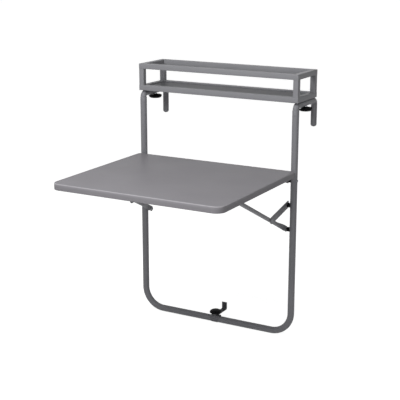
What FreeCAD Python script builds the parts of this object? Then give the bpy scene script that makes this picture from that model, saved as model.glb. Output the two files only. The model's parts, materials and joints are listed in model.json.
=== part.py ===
import FreeCAD, Part
import math
import os
from FreeCAD import Vector

# Balcony table that hangs on a railing, all sizes in millimetres.
# The shapes are drawn with Z up from the underside of the bottom tube, Y = 0 in the plane of the two
# legs, -Y towards the person at the table and +Y towards the railing. X = 0 is midway between the legs.
# The finished pieces are moved so that the origin is midway between the two feet, on the railing's top.

# Round tube frame
tube_diameter = 26.5
tube_wall = 1.5
hook_tube_diameter = 24.0
hook_collar_length = 20.0
leg_spacing = 675.0
frame_bend_radius = 85.0
joint_height = 892.0
spigot_length = 58.0
spigot_clearance = 0.15
hook_bend_radius = 16.0
drop_setback = 176.0
drop_end_height = 832.5
cap_dome_height = 10.5
cap_plug_length = 14.0
cap_plug_clearance = 0.1
joint_screw_height = 862.0
joint_screw_radius = 2.5
joint_screw_head_radius = 4.6
joint_screw_head_height = 2.4
joint_screw_depth = 7.0

# Planter shelf
shelf_width = 700.0
shelf_front_setback = 12.0
shelf_depth = 182.0
shelf_underside_height = 940.0
shelf_total_height = 108.0
rail_size = 21.0
rail_wall = 1.5
rail_edge_radius = 1.5
floor_recess = 5.0
floor_sheet = 1.2
floor_fold_depth = 11.0
shelf_screw_radius = 3.0
shelf_screw_head_radius = 5.5
shelf_screw_head_height = 3.0
shelf_screw_reach = 6.0
shelf_screw_from_front = 36.0
shelf_screw_from_drop = 34.0

# Screw feet under the hooks
foot_setback = 91.0
foot_stud_radius = 5.0
foot_stud_reach = 21.0
foot_thread_clearance = 0.05
foot_insert_radius = 7.0
foot_insert_depth = 8.0
foot_insert_collar = 1.5
foot_neck_radius = 8.0
foot_knob_radius = 26.5
foot_knob_height = 6.2
foot_knob_rim = 1.6
foot_pad_radius = 27.0
foot_pad_height = 11.2
foot_pad_rim = 2.6
foot_pad_face_radius = 16.0
foot_socket_depth = 5.2
foot_gap = 0.3

# Tabletop
table_width = 700.0
table_rear_gap = 20.0
table_depth = 600.0
table_top_height = 682.0
table_rim_height = 25.0
table_sheet = 1.2
table_front_corner_radius = 36.0
table_rear_corner_radius = 12.0
table_edge_radius = 3.0
table_lip_width = 12.0
rib_length = 570.0
rib_width = 30.0
rib_depth = 12.0
rib_sheet = 1.2
rib_setbacks = (118.0, 308.0)

# Hinges, links and struts, one set at each leg
hinge_height = 640.0
link_pivot_height = 541.0
strut_seat_height = 444.0
pivot_radius = 4.0
pivot_clearance = 0.05
spacer_radius = 9.0
spacer_length = 10.7
side_gap = 0.3
plate_thickness = 3.0
pivot_head_radius = 8.0
pivot_head_thickness = 1.3
bolt_head_radius = 6.0
bolt_head_height = 3.0
bolt_skirt_depth = 4.0
hinge_nut_width = 13.0
hinge_nut_height = 6.5
insert_radius = 6.0
insert_length = 12.0
insert_wall_clearance = 0.05
seat_head_thickness = 4.0
bracket_eye_radius = 13.0
bracket_length = 64.0
bracket_flange_width = 20.0
bracket_flange_thickness = 2.5
bracket_lip_clearance = 1.0
bracket_tip_drop = 8.0
strut_diameter = 16.0
strut_wall = 1.5
strut_slope = 26.4
strut_length = 508.0
rivet_distance = 155.2
rivet_head_radius = 8.0
rivet_head_height = 2.5
rivet_tail_radius = 6.0
rivet_tail_height = 1.5
strut_flat_width = 22.0
strut_flat_thickness = 4.0
strut_flat_length = 30.0
strut_crush_length = 16.0
hook_clearance = 0.3
hook_mouth_angle = 61.0
hook_mouth_spread = 1.3
glide_radius = 8.5
glide_sleeve_length = 14.0
glide_plug_length = 16.0
glide_plug_clearance = 0.1
link_width = 28.0
link_end_overhang = 12.0
link_corner_radius = 4.0
guide_inner_width = 19.0
guide_sheet = 2.0
guide_depth = 14.0
guide_start = 409.0

# Lower clamp on the bottom tube
saddle_width = 40.0
saddle_thickness = 2.5
saddle_land = 22.0
saddle_mouth = 16.0
clamp_stud_radius = 4.0
clamp_stud_reach = 15.0
clamp_hole_clearance = 0.1
clamp_insert_radius = 6.0
clamp_insert_depth = 8.0
clamp_hook_width = 22.0
clamp_hook_thickness = 3.0
clamp_hook_reach = 79.0
clamp_lip_height = 31.0
clamp_hole_spacing = 25.5
clamp_hook_bend_radius = 5.0
washer_radius = 10.0
washer_thickness = 1.0
clamp_knob_radius = 25.0
clamp_knob_neck_radius = 8.0
clamp_knob_neck_height = 3.0
clamp_knob_cone_height = 4.5
clamp_knob_rim_height = 2.5
clamp_knob_dome_height = 11.5
clamp_stud_in_knob = 8.0

# Heights and places that follow from the sizes above
tube_radius = tube_diameter / 2
tube_bore = tube_radius - tube_wall
hook_radius = hook_tube_diameter / 2
hook_bore = hook_radius - tube_wall
leg_x = leg_spacing / 2
hook_axis_height = shelf_underside_height - hook_radius
hook_underside_height = hook_axis_height - hook_radius
shelf_front_y = -shelf_front_setback
shelf_back_y = shelf_front_y + shelf_depth
shelf_top_height = shelf_underside_height + shelf_total_height
rim_top_height = shelf_underside_height + rail_size
table_rear_y = -table_rear_gap
table_front_y = table_rear_y - table_depth
table_rim_bottom = table_top_height - table_rim_height
table_sheet_underside = table_top_height - table_sheet
leg_inner_x = leg_x - tube_radius
spacer_end_x = leg_inner_x - spacer_length
plate_outer_x = spacer_end_x - side_gap
plate_inner_x = plate_outer_x - plate_thickness
strut_radius = strut_diameter / 2
strut_x = plate_inner_x - side_gap - strut_radius
strut_direction = Vector(0, -math.cos(math.radians(strut_slope)), math.sin(math.radians(strut_slope)))
strut_normal = Vector(0, -math.sin(math.radians(strut_slope)), -math.cos(math.radians(strut_slope)))
foot_knob_top = hook_underside_height - foot_insert_collar - foot_gap
foot_knob_bottom = foot_knob_top - foot_knob_height
foot_pad_top = foot_knob_bottom - foot_gap
foot_pad_bottom = foot_pad_top - foot_pad_height
saddle_top = tube_diameter + saddle_thickness
clamp_hook_top = saddle_top + clamp_hook_thickness
clamp_washer_top = clamp_hook_top + washer_thickness
origin = Vector(0, foot_setback, foot_pad_bottom)

UP = Vector(0, 0, 1)
ACROSS = Vector(1, 0, 0)
BACK = Vector(0, 1, 0)


def box(x0, x1, y0, y1, z0, z1):
    """A block between two opposite corners."""
    return Part.makeBox(x1 - x0, y1 - y0, z1 - z0, Vector(x0, y0, z0))


def rod(radius, start, end):
    """A round bar from one point to another."""
    way = end - start
    return Part.makeCylinder(radius, way.Length, start, way)


def revolved(profile, centre, axis=UP):
    """A turned piece, its profile given as (radius, height) pairs from the foot to the top."""
    points = [Vector(radius, 0, height) for radius, height in profile]
    face = Part.Face(Part.makePolygon(points + [points[0]]))
    piece = face.revolve(Vector(0, 0, 0), UP, 360)
    piece.Placement = FreeCAD.Placement(centre, FreeCAD.Rotation(UP, axis))
    return piece


def domed(radius, rise, flat_height, steps=5):
    """(radius, height) pairs of a quarter-round dome, from its rim to the axis."""
    angles = [math.radians(90.0 * i / steps) for i in range(steps + 1)]
    return [(radius * math.cos(a) if i < steps else 0.0, flat_height + rise * math.sin(a))
            for i, a in enumerate(angles)]


def rounded_path(points, radius):
    """Straight runs through the points, joined by arcs of one radius."""
    edges = []
    start = points[0]
    for before, corner, after in zip(points, points[1:], points[2:]):
        incoming = (before - corner).normalize()
        outgoing = (after - corner).normalize()
        half_angle = incoming.getAngle(outgoing) / 2
        setback = radius / math.tan(half_angle)
        middle = (incoming + outgoing).normalize()
        on_arc = corner + middle * (radius / math.sin(half_angle) - radius)
        arc_start = corner + incoming * setback
        arc_end = corner + outgoing * setback
        edges.append(Part.makeLine(start, arc_start))
        edges.append(Part.Arc(arc_start, on_arc, arc_end).toShape())
        start = arc_end
    edges.append(Part.makeLine(start, points[-1]))
    return Part.Wire(edges)


def swept_rod(points, bend_radius, radius):
    """A solid bar of round section along a bent path."""
    path = rounded_path(points, bend_radius)
    heading = points[1] - points[0]
    section = Part.Wire([Part.makeCircle(radius, points[0], heading)])
    return Part.Solid(path.makePipeShell([section], True, False).Shells[0])


def bent_tube(points, bend_radius, outer, inner):
    """A hollow tube along a bent path."""
    return swept_rod(points, bend_radius, outer).cut(swept_rod(points, bend_radius, inner))


def rounded_rectangle(x0, x1, y0, y1, z, front_radius, rear_radius):
    """A flat face with one radius at its two front corners and another at its rear ones."""
    corners = [(x0, y0, front_radius, 180), (x1, y0, front_radius, 270),
               (x1, y1, rear_radius, 0), (x0, y1, rear_radius, 90)]
    edges = []
    ends = []
    for x, y, radius, first_angle in corners:
        centre = Vector(x + (radius if x == x0 else -radius), y + (radius if y == y0 else -radius), z)
        edges.append(Part.makeCircle(radius, centre, UP, first_angle, first_angle + 90))
        ends.append((edges[-1].Vertexes[0].Point, edges[-1].Vertexes[-1].Point))
    outline = []
    for i, arc in enumerate(edges):
        outline.append(arc)
        outline.append(Part.makeLine(ends[i][1], ends[(i + 1) % 4][0]))
    return Part.Face(Part.Wire(outline))


def hexagon(width, height, centre, axis):
    """A six-sided nut blank, width across its flats."""
    corner = width / math.sqrt(3)
    points = [Vector(corner * math.cos(math.radians(60 * i)), corner * math.sin(math.radians(60 * i)), 0)
              for i in range(7)]
    piece = Part.Face(Part.makePolygon(points)).extrude(Vector(0, 0, height))
    piece.Placement = FreeCAD.Placement(centre, FreeCAD.Rotation(UP, axis))
    return piece


def mirrored(shape):
    """The same piece on the other side of X = 0."""
    return shape.mirror(Vector(0, 0, 0), ACROSS)


def both_sides(shape):
    """A right-hand piece and its left-hand twin, as separate solids."""
    return Part.makeCompound(shape.Solids + mirrored(shape).Solids)


def at_strut(along, below=0.0, x=strut_x):
    """A point given along the strut's axis from its seat, and below that axis."""
    return Vector(x, 0, strut_seat_height) + strut_direction * along + strut_normal * below


def leg_bar():
    """The space that the right leg's outside fills, for shaping what bears on it."""
    return rod(tube_radius, Vector(leg_x, 0, 0), Vector(leg_x, 0, joint_height))


def u_frame():
    """Both legs and the bottom tube, one bent tube with its bolt and screw holes."""
    path = [Vector(-leg_x, 0, joint_height), Vector(-leg_x, 0, tube_radius),
            Vector(leg_x, 0, tube_radius), Vector(leg_x, 0, joint_height)]
    frame = bent_tube(path, frame_bend_radius, tube_radius, tube_bore)
    hinge_hole = pivot_radius + pivot_clearance
    insert_hole = insert_radius + insert_wall_clearance
    screw_hole = joint_screw_radius + spigot_clearance
    for side in (-1, 1):
        inside = side * (leg_x - tube_diameter)
        frame = frame.cut(rod(hinge_hole, Vector(inside, 0, hinge_height),
                              Vector(side * (leg_x + tube_diameter), 0, hinge_height)))
        for height in (link_pivot_height, strut_seat_height):
            frame = frame.cut(rod(insert_hole, Vector(inside, 0, height), Vector(side * leg_x, 0, height)))
        frame = frame.cut(rod(screw_hole, Vector(side * leg_x, 0, joint_screw_height),
                              Vector(side * leg_x, tube_diameter, joint_screw_height)))
    return frame.cut(rod(clamp_insert_radius, UP * tube_radius, UP * saddle_top))


def hook_right():
    """The tube that goes from the leg's joint over the railing and down behind it."""
    path = [Vector(leg_x, 0, joint_height), Vector(leg_x, 0, hook_axis_height),
            Vector(leg_x, drop_setback, hook_axis_height), Vector(leg_x, drop_setback, drop_end_height)]
    hook = bent_tube(path, hook_bend_radius, hook_radius, hook_bore)
    spigot_radius = tube_bore - spigot_clearance
    spigot_bore = spigot_radius - tube_wall
    foot = Vector(leg_x, 0, joint_height - spigot_length)
    seam, collar_top = Vector(leg_x, 0, joint_height), Vector(leg_x, 0, joint_height + hook_collar_length)
    spigot = rod(tube_radius, seam, collar_top).fuse(rod(spigot_radius, foot, seam))
    hook = hook.fuse(spigot).cut(rod(spigot_bore, foot, collar_top))
    hook = hook.cut(rod(joint_screw_radius + spigot_clearance, Vector(leg_x, 0, joint_screw_height),
                        Vector(leg_x, tube_diameter, joint_screw_height)))
    for y in shelf_screw_places():
        hook = hook.cut(rod(shelf_screw_radius + pivot_clearance, Vector(leg_x, y, hook_underside_height),
                            Vector(leg_x, y, shelf_underside_height)))
    hook = hook.cut(rod(foot_insert_radius, Vector(leg_x, foot_setback, hook_underside_height),
                        Vector(leg_x, foot_setback, hook_axis_height)))
    return hook.removeSplitter()


def end_cap_right():
    """Domed plug in the open end of the hook's drop."""
    profile = [(0, 0)] + [(hook_bore - cap_plug_clearance, 0),
                          (hook_bore - cap_plug_clearance, cap_plug_length),
                          (hook_radius, cap_plug_length)]
    profile += domed(hook_radius, cap_dome_height, cap_plug_length)[1:]
    return revolved(profile, Vector(leg_x, drop_setback, drop_end_height + cap_plug_length), -UP)


def joint_screw_right():
    """Screw at the back of the leg that holds the hook's spigot."""
    centre = Vector(leg_x, tube_radius, joint_screw_height)
    shank = rod(joint_screw_radius, centre - BACK * joint_screw_depth, centre)
    profile = [(0, -tube_wall), (joint_screw_head_radius, -tube_wall), (joint_screw_head_radius, 0)]
    profile += domed(joint_screw_head_radius, joint_screw_head_height, 0)[1:]
    head = revolved(profile, centre, BACK).cut(leg_bar())
    return shank.fuse(head)


def shelf_screw_places():
    """Where the shelf's screws stand along the hook."""
    return (shelf_screw_from_front, drop_setback - shelf_screw_from_drop)


def shelf_screw_right(y):
    """Screw from under the hook into the shelf's side rail."""
    underside = Vector(leg_x, y, hook_underside_height)
    shank = rod(shelf_screw_radius, underside, Vector(leg_x, y, shelf_underside_height + shelf_screw_reach))
    profile = [(0, -tube_wall), (shelf_screw_head_radius, -tube_wall), (shelf_screw_head_radius, 0)]
    profile += domed(shelf_screw_head_radius, shelf_screw_head_height, 0)[1:]
    hook_bar = rod(hook_radius, Vector(leg_x, 0, hook_axis_height),
                   Vector(leg_x, drop_setback, hook_axis_height))
    return shank.fuse(revolved(profile, underside, -UP).cut(hook_bar))


def rail_frame(base):
    """A rectangular frame of four mitred square tubes, as four solids that meet at the corners."""
    half = shelf_width / 2
    front, back, size, wall = shelf_front_y, shelf_back_y, rail_size, rail_wall
    top = base + size
    ring = box(-half, half, front, back, base, top)
    ring = ring.cut(box(-half + size, half - size, front + size, back - size, base, top))
    long_edges = [edge for edge in ring.Edges if abs(edge.tangentAt(edge.FirstParameter).z) < 0.5]
    ring = ring.makeFillet(rail_edge_radius, long_edges)
    bore = box(-half + wall, half - wall, front + wall, back - wall, base + wall, top - wall)
    core = box(-half + size - wall, half - size + wall, front + size - wall, back - size + wall, base, top)
    ring = ring.cut(bore.cut(core))
    outer = [Vector(-half, front, base), Vector(half, front, base),
             Vector(half, back, base), Vector(-half, back, base)]
    inner = [Vector(-half + size, front + size, base), Vector(half - size, front + size, base),
             Vector(half - size, back - size, base), Vector(-half + size, back - size, base)]
    rails = []
    for i in range(4):
        k = (i + 1) % 4
        wedge = Part.Face(Part.makePolygon([outer[i], outer[k], inner[k], inner[i], outer[i]]))
        rails += ring.common(wedge.extrude(Vector(0, 0, size))).Solids
    return Part.makeCompound(rails)


def shelf_base_frame():
    """Lower rim of the planter shelf, with the holes of its screws in the side rails."""
    frame = rail_frame(shelf_underside_height)
    for side in (-1, 1):
        for y in shelf_screw_places():
            frame = frame.cut(rod(shelf_screw_radius + pivot_clearance,
                                  Vector(side * leg_x, y, shelf_underside_height - tube_wall),
                                  Vector(side * leg_x, y, shelf_underside_height + rail_size / 2)))
    return frame


def shelf_top_frame():
    """Upper rim of the planter shelf."""
    return rail_frame(shelf_top_height - rail_size)


def shelf_posts():
    """The four upright square tubes between the two rims."""
    posts = []
    for x in (-shelf_width / 2, shelf_width / 2 - rail_size):
        for y in (shelf_front_y, shelf_back_y - rail_size):
            post = box(x, x + rail_size, y, y + rail_size, rim_top_height, shelf_top_height - rail_size)
            upright = [edge for edge in post.Edges if abs(edge.tangentAt(edge.FirstParameter).z) > 0.5]
            post = post.makeFillet(rail_edge_radius, upright)
            post = post.cut(box(x + rail_wall, x + rail_size - rail_wall, y + rail_wall,
                                y + rail_size - rail_wall, rim_top_height, shelf_top_height - rail_size))
            posts += post.Solids
    return Part.makeCompound(posts)


def shelf_floor():
    """Sheet floor let in below the rim's top, its edges folded down against the rails."""
    x = shelf_width / 2 - rail_size
    front, back = shelf_front_y + rail_size, shelf_back_y - rail_size
    top = rim_top_height - floor_recess
    tray = box(-x, x, front, back, top - floor_fold_depth, top)
    hollow = box(-x + floor_sheet, x - floor_sheet, front + floor_sheet, back - floor_sheet,
                 top - floor_fold_depth, top - floor_sheet)
    return tray.cut(hollow)


def foot_insert_right():
    """Threaded insert in the underside of the hook tube, which the foot's stud turns in."""
    top = hook_underside_height + foot_insert_depth
    bottom = hook_underside_height - foot_insert_collar
    centre = Vector(leg_x, foot_setback, 0)
    barrel = rod(foot_insert_radius, centre + UP * bottom, centre + UP * top)
    return barrel.cut(rod(foot_stud_radius + foot_thread_clearance, centre + UP * bottom, centre + UP * top))


def foot_stud_right():
    """Steel stud of the foot, from the pad's socket up into the hook tube."""
    centre = Vector(leg_x, foot_setback, 0)
    return rod(foot_stud_radius, centre + UP * (foot_pad_top - foot_socket_depth + foot_gap),
               centre + UP * (hook_underside_height + foot_stud_reach))


def foot_knob_right():
    """Moulded collar that turns the stud: a flat disc that rises in a hollow cone to a neck."""
    neck = foot_neck_radius
    profile = [(foot_stud_radius, 0), (foot_knob_radius, 0), (foot_knob_radius, foot_knob_rim),
               (foot_knob_radius * 0.72, foot_knob_height * 0.38), (neck * 1.2, foot_knob_height * 0.62),
               (neck, foot_knob_height), (foot_stud_radius, foot_knob_height)]
    return revolved(profile, Vector(leg_x, foot_setback, foot_knob_bottom))


def foot_pad_right():
    """Domed pad that rests on the railing and stays still while the stud turns in its socket."""
    socket = foot_stud_radius + clamp_hole_clearance
    height = foot_pad_height
    bulge = height - foot_pad_rim
    profile = [(0, 0), (foot_pad_face_radius, 0)]
    flare = foot_pad_radius - foot_pad_face_radius
    profile += [(foot_pad_face_radius + flare * math.sin(a), bulge * (1 - math.cos(a)))
                for a in (math.radians(30), math.radians(60), math.radians(90))]
    profile += [(foot_pad_radius, height), (socket, height), (socket, height - foot_socket_depth),
                (0, height - foot_socket_depth)]
    return revolved(profile, Vector(leg_x, foot_setback, foot_pad_bottom))


def tabletop_panel():
    """Pressed sheet: flat top, turned-down rim and a narrow lip turned in under the rim."""
    half = table_width / 2
    bottom, top = table_rim_bottom, table_top_height

    def slab(inset, z0, z1):
        front = max(table_front_corner_radius - inset, 1.0)
        rear = max(table_rear_corner_radius - inset, 1.0)
        face = rounded_rectangle(-half + inset, half - inset, table_front_y + inset, table_rear_y - inset,
                                 z0, front, rear)
        return face.extrude(Vector(0, 0, z1 - z0))

    outer = slab(0.0, bottom, top)
    outer = outer.makeFillet(table_edge_radius, [e for e in outer.Edges if e.BoundBox.ZMin > top - 0.01])
    cavity = slab(table_sheet, bottom + table_sheet, top - table_sheet)
    mouth = slab(table_lip_width, bottom, bottom + table_sheet)
    return outer.cut(cavity).cut(mouth)


def table_ribs():
    """Two hat-section stiffeners welded under the sheet."""
    ribs = []
    for setback in rib_setbacks:
        y = table_rear_y - setback
        rib = box(-rib_length / 2, rib_length / 2, y - rib_width / 2, y + rib_width / 2,
                  table_sheet_underside - rib_depth, table_sheet_underside)
        groove = box(-rib_length / 2, rib_length / 2, y - rib_width / 2 + rib_sheet,
                     y + rib_width / 2 - rib_sheet, table_sheet_underside - rib_depth + rib_sheet,
                     table_sheet_underside)
        ribs += rib.cut(groove).Solids
    return Part.makeCompound(ribs)


def hinge_bracket_right():
    """Plate from the tabletop's underside, round the rim's lip, to the eye on the hinge bolt."""
    eye = bracket_eye_radius
    tip_y = table_rear_y - bracket_length + table_rear_gap
    behind_lip_y = table_rear_y - table_lip_width - bracket_lip_clearance
    under_lip = table_rim_bottom
    outline = [(0, hinge_height - eye), (tip_y, hinge_height + bracket_tip_drop),
               (tip_y, table_sheet_underside), (behind_lip_y, table_sheet_underside),
               (behind_lip_y, under_lip), (-eye, under_lip), (eye, hinge_height)]
    points = [Vector(plate_inner_x, y, z) for y, z in outline]
    diagonal = math.sin(math.radians(45))
    knee = Vector(plate_inner_x, eye * diagonal, hinge_height - eye * diagonal)
    edges = [Part.makeLine(a, b) for a, b in zip(points, points[1:])]
    edges.append(Part.Arc(points[-1], knee, points[0]).toShape())
    plate = Part.Face(Part.Wire(edges)).extrude(ACROSS * plate_thickness)
    flange = box(plate_inner_x - bracket_flange_width, plate_outer_x, tip_y, behind_lip_y,
                 table_sheet_underside - bracket_flange_thickness, table_sheet_underside)
    hole = rod(pivot_radius + pivot_clearance, Vector(plate_inner_x, 0, hinge_height),
               Vector(plate_outer_x, 0, hinge_height))
    return plate.fuse(flange).cut(hole).removeSplitter()


def strut_guide_right():
    """Channel under the sheet that keeps the strut's glide in line as the table folds."""
    half = guide_inner_width / 2 + guide_sheet
    start = table_rear_y - guide_start
    end = table_front_y + table_lip_width + bracket_lip_clearance
    outer = box(strut_x - half, strut_x + half, end, start, table_sheet_underside - guide_depth,
                table_sheet_underside)
    inner = box(strut_x - guide_inner_width / 2, strut_x + guide_inner_width / 2, end, start,
                table_sheet_underside - guide_depth, table_sheet_underside - guide_sheet)
    return outer.cut(inner)


def hinge_bolt_right():
    """Bolt through the leg with a domed head outside, the table's hinge pin."""
    outside = Vector(leg_x + tube_radius, 0, hinge_height)
    nut_end = Vector(plate_inner_x - side_gap - hinge_nut_height, 0, hinge_height)
    profile = [(0, -bolt_skirt_depth), (bolt_head_radius, -bolt_skirt_depth), (bolt_head_radius, 0)]
    profile += domed(bolt_head_radius, bolt_head_height, 0)[1:]
    head = revolved(profile, outside, ACROSS).cut(leg_bar())
    return rod(pivot_radius, nut_end, outside).fuse(head)


def hinge_nut_right():
    """Nut on the inner end of the hinge bolt."""
    start = Vector(plate_inner_x - side_gap, 0, hinge_height)
    nut = hexagon(hinge_nut_width, hinge_nut_height, start, -ACROSS)
    return nut.cut(rod(pivot_radius, start, start - ACROSS * hinge_nut_height))


def spacer_right(height):
    """Plastic spacer between the leg and a pivot, hollowed at one end to sit on the tube."""
    inner = Vector(spacer_end_x, 0, height)
    outer = Vector(leg_x, 0, height)
    spacer = rod(spacer_radius, inner, outer).cut(leg_bar())
    return spacer.cut(rod(pivot_radius + pivot_clearance, inner, outer))


def leg_insert_right(height):
    """Threaded insert in the leg's inner wall, flush with the tube."""
    inner = Vector(leg_inner_x - tube_wall, 0, height)
    end = Vector(leg_inner_x + insert_length, 0, height)
    barrel = rod(insert_radius, inner, end)
    barrel = barrel.common(leg_bar())
    return barrel.cut(rod(pivot_radius + pivot_clearance, inner, end))


def link_pin_right():
    """Pin of the link with a thin head let into the link's face, so that the strut can pass it."""
    head_start = plate_inner_x + (plate_thickness / 2 - pivot_head_thickness) / 2
    start = Vector(head_start, 0, link_pivot_height)
    head = rod(pivot_head_radius, start, start + ACROSS * pivot_head_thickness)
    return head.fuse(rod(pivot_radius, start, Vector(leg_inner_x + insert_length, 0, link_pivot_height)))


def seat_bolt_right():
    """Bolt that the strut's hooked end sits on, with a head that keeps the hook from sliding off."""
    head_end = strut_flat_inner_x() - side_gap
    head_start = Vector(head_end - seat_head_thickness, 0, strut_seat_height)
    profile = [(0, 0), (pivot_head_radius, 0)]
    profile += domed(pivot_head_radius, seat_head_thickness / 2, seat_head_thickness / 2)
    head = revolved(profile, Vector(head_end, 0, strut_seat_height), -ACROSS)
    return head.fuse(rod(pivot_radius, head_start, Vector(leg_inner_x + insert_length, 0, strut_seat_height)))


def strut_flat_inner_x():
    """Inner face of the strut's flattened end, whose outer face is in line with the tube's side."""
    return strut_x + strut_radius - strut_flat_thickness


def link_right():
    """Flat bar from its pin on the leg to the strut's rivet, square at the pin and round at the rivet."""
    pin = Vector(plate_inner_x, 0, link_pivot_height)
    rivet = at_strut(rivet_distance, x=plate_inner_x)
    along = (rivet - pin).normalize()
    aside = along.cross(ACROSS)
    half = link_width / 2
    start = pin - along * link_end_overhang
    corners = [start + aside * half, rivet + aside * half, rivet + along * half, rivet - aside * half,
               start - aside * half]
    edges = [Part.makeLine(corners[0], corners[1]), Part.Arc(corners[1], corners[2], corners[3]).toShape(),
             Part.makeLine(corners[3], corners[4]), Part.makeLine(corners[4], corners[0])]
    bar = Part.Face(Part.Wire(edges)).extrude(ACROSS * plate_thickness)
    square_end = [edge for edge in bar.Edges if abs(edge.tangentAt(edge.FirstParameter).x) > 0.9
                  and (edge.CenterOfMass - pin).dot(along) < 0]
    bar = bar.makeFillet(link_corner_radius, square_end)
    for centre in (pin, rivet):
        bar = bar.cut(rod(pivot_radius + pivot_clearance, centre, centre + ACROSS * plate_thickness))
    return bar.cut(rod(pivot_head_radius + pivot_clearance, pin, pin + ACROSS * (plate_thickness / 2)))


def strut_round():
    """The tube's outline where it starts to be crushed, as four arcs that each meet one side of the flat."""
    centre = at_strut(strut_flat_length + strut_crush_length)
    quarters = []
    for first in (-45, 45, 135, 225):
        points = [centre + ACROSS * (strut_radius * math.cos(math.radians(angle)))
                  - strut_normal * (strut_radius * math.sin(math.radians(angle)))
                  for angle in (first, first + 45, first + 90)]
        quarters.append(Part.Arc(*points).toShape())
    return Part.Wire(quarters)


def strut_flat():
    """The outline of the crushed end, in line with the tube's outer side."""
    half = strut_flat_width / 2
    outer, inner = strut_x + strut_radius, strut_flat_inner_x()
    corners = [at_strut(strut_flat_length, half, outer), at_strut(strut_flat_length, -half, outer),
               at_strut(strut_flat_length, -half, inner), at_strut(strut_flat_length, half, inner)]
    return Part.makePolygon(corners + [corners[0]])


def strut_right():
    """Round tube crushed flat at its lower end, where a slanted hook is cut for the seat bolt."""
    tube_start = strut_flat_length + strut_crush_length
    tube = rod(strut_radius, at_strut(tube_start), at_strut(strut_length))
    tube = tube.cut(rod(strut_radius - strut_wall, at_strut(tube_start), at_strut(strut_length)))
    crushed = Part.makeLoft([strut_round(), strut_flat()], True, True)
    seat = at_strut(0, x=strut_flat_inner_x())
    half = strut_flat_width / 2
    tongue_top = at_strut(strut_flat_length, -half, strut_flat_inner_x())
    tongue_bottom = at_strut(strut_flat_length, half, strut_flat_inner_x())
    near_top = at_strut(0, -half, strut_flat_inner_x())
    near_bottom = at_strut(0, half, strut_flat_inner_x())
    tip = at_strut(-half, 0, strut_flat_inner_x())
    tongue = Part.Face(Part.Wire([
        Part.makeLine(tongue_top, near_top), Part.Arc(near_top, tip, near_bottom).toShape(),
        Part.makeLine(near_bottom, tongue_bottom), Part.makeLine(tongue_bottom, tongue_top)]))
    strut = tube.fuse(crushed).fuse(tongue.extrude(ACROSS * strut_flat_thickness))
    strut = strut.cut(hook_mouth(seat))
    rivet = at_strut(rivet_distance)
    reach = ACROSS * strut_diameter
    return strut.cut(rod(pivot_radius, rivet - reach, rivet + reach))


def hook_mouth(seat):
    """The slot of the strut's hook: a round seat that opens, a little wider, to the lower edge."""
    radius = pivot_radius + hook_clearance
    angle = math.radians(hook_mouth_angle)
    way = strut_direction * math.cos(angle) + strut_normal * math.sin(angle)
    aside = way.cross(ACROSS)
    far = seat + way * strut_flat_width
    corners = [seat + aside * radius, far + aside * radius * hook_mouth_spread,
               far - aside * radius * hook_mouth_spread, seat - aside * radius]
    slot = Part.Face(Part.makePolygon(corners + [corners[0]])).extrude(ACROSS * strut_flat_thickness)
    return slot.fuse(rod(radius, seat, seat + ACROSS * strut_flat_thickness))


def strut_glide_right():
    """Plastic cap on the strut's upper end, which bears in the guide under the tabletop."""
    sleeve = [(strut_radius, -glide_sleeve_length), (glide_radius, -glide_sleeve_length), (glide_radius, 0)]
    plug_radius = strut_radius - strut_wall - glide_plug_clearance
    profile = [(0, -glide_plug_length), (plug_radius, -glide_plug_length), (plug_radius, 0), (strut_radius, 0)]
    cap = revolved(profile + sleeve + domed(glide_radius, glide_radius, 0)[1:], at_strut(strut_length),
                   strut_direction)
    return cap


def strut_rivet_right():
    """Rivet through the strut and the link, with its domed head on the link."""
    centre = at_strut(rivet_distance)
    outer = Vector(plate_outer_x + side_gap, centre.y, centre.z)
    inner = Vector(strut_x - strut_radius, centre.y, centre.z)
    shank = rod(pivot_radius, inner, outer)
    head = revolved([(0, 0)] + domed(rivet_head_radius, rivet_head_height, 0), outer, ACROSS)
    tail = revolved([(0, -tube_wall), (rivet_tail_radius, -tube_wall)]
                    + domed(rivet_tail_radius, rivet_tail_height, 0), inner, -ACROSS)
    strut_bar = rod(strut_radius, at_strut(rivet_distance - strut_diameter),
                    at_strut(rivet_distance + strut_diameter))
    return shank.fuse(head).fuse(tail.cut(strut_bar))


def clamp_saddle():
    """Saddle snapped over the bottom tube, open underneath, with a flat land on top."""
    start, end = Vector(-saddle_width / 2, 0, tube_radius), Vector(saddle_width / 2, 0, tube_radius)
    saddle = rod(tube_radius + saddle_thickness, start, end)
    saddle = saddle.fuse(box(start.x, end.x, -saddle_land / 2, saddle_land / 2, tube_radius, saddle_top))
    saddle = saddle.cut(rod(tube_radius, start, end))
    mouth = saddle_mouth / 2
    saddle = saddle.cut(box(start.x, end.x, -mouth, mouth, -saddle_thickness, tube_radius))
    return saddle.cut(rod(clamp_stud_radius + clamp_hole_clearance, UP * tube_radius, UP * saddle_top))


def clamp_insert():
    """Threaded insert in the top of the bottom tube, flush under the saddle."""
    bottom, top = UP * (tube_diameter - clamp_insert_depth), UP * tube_diameter
    barrel = rod(clamp_insert_radius, bottom, top)
    barrel = barrel.common(rod(tube_radius, Vector(-saddle_width, 0, tube_radius),
                               Vector(saddle_width, 0, tube_radius)))
    return barrel.cut(rod(clamp_stud_radius + foot_thread_clearance, bottom, top))


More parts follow.
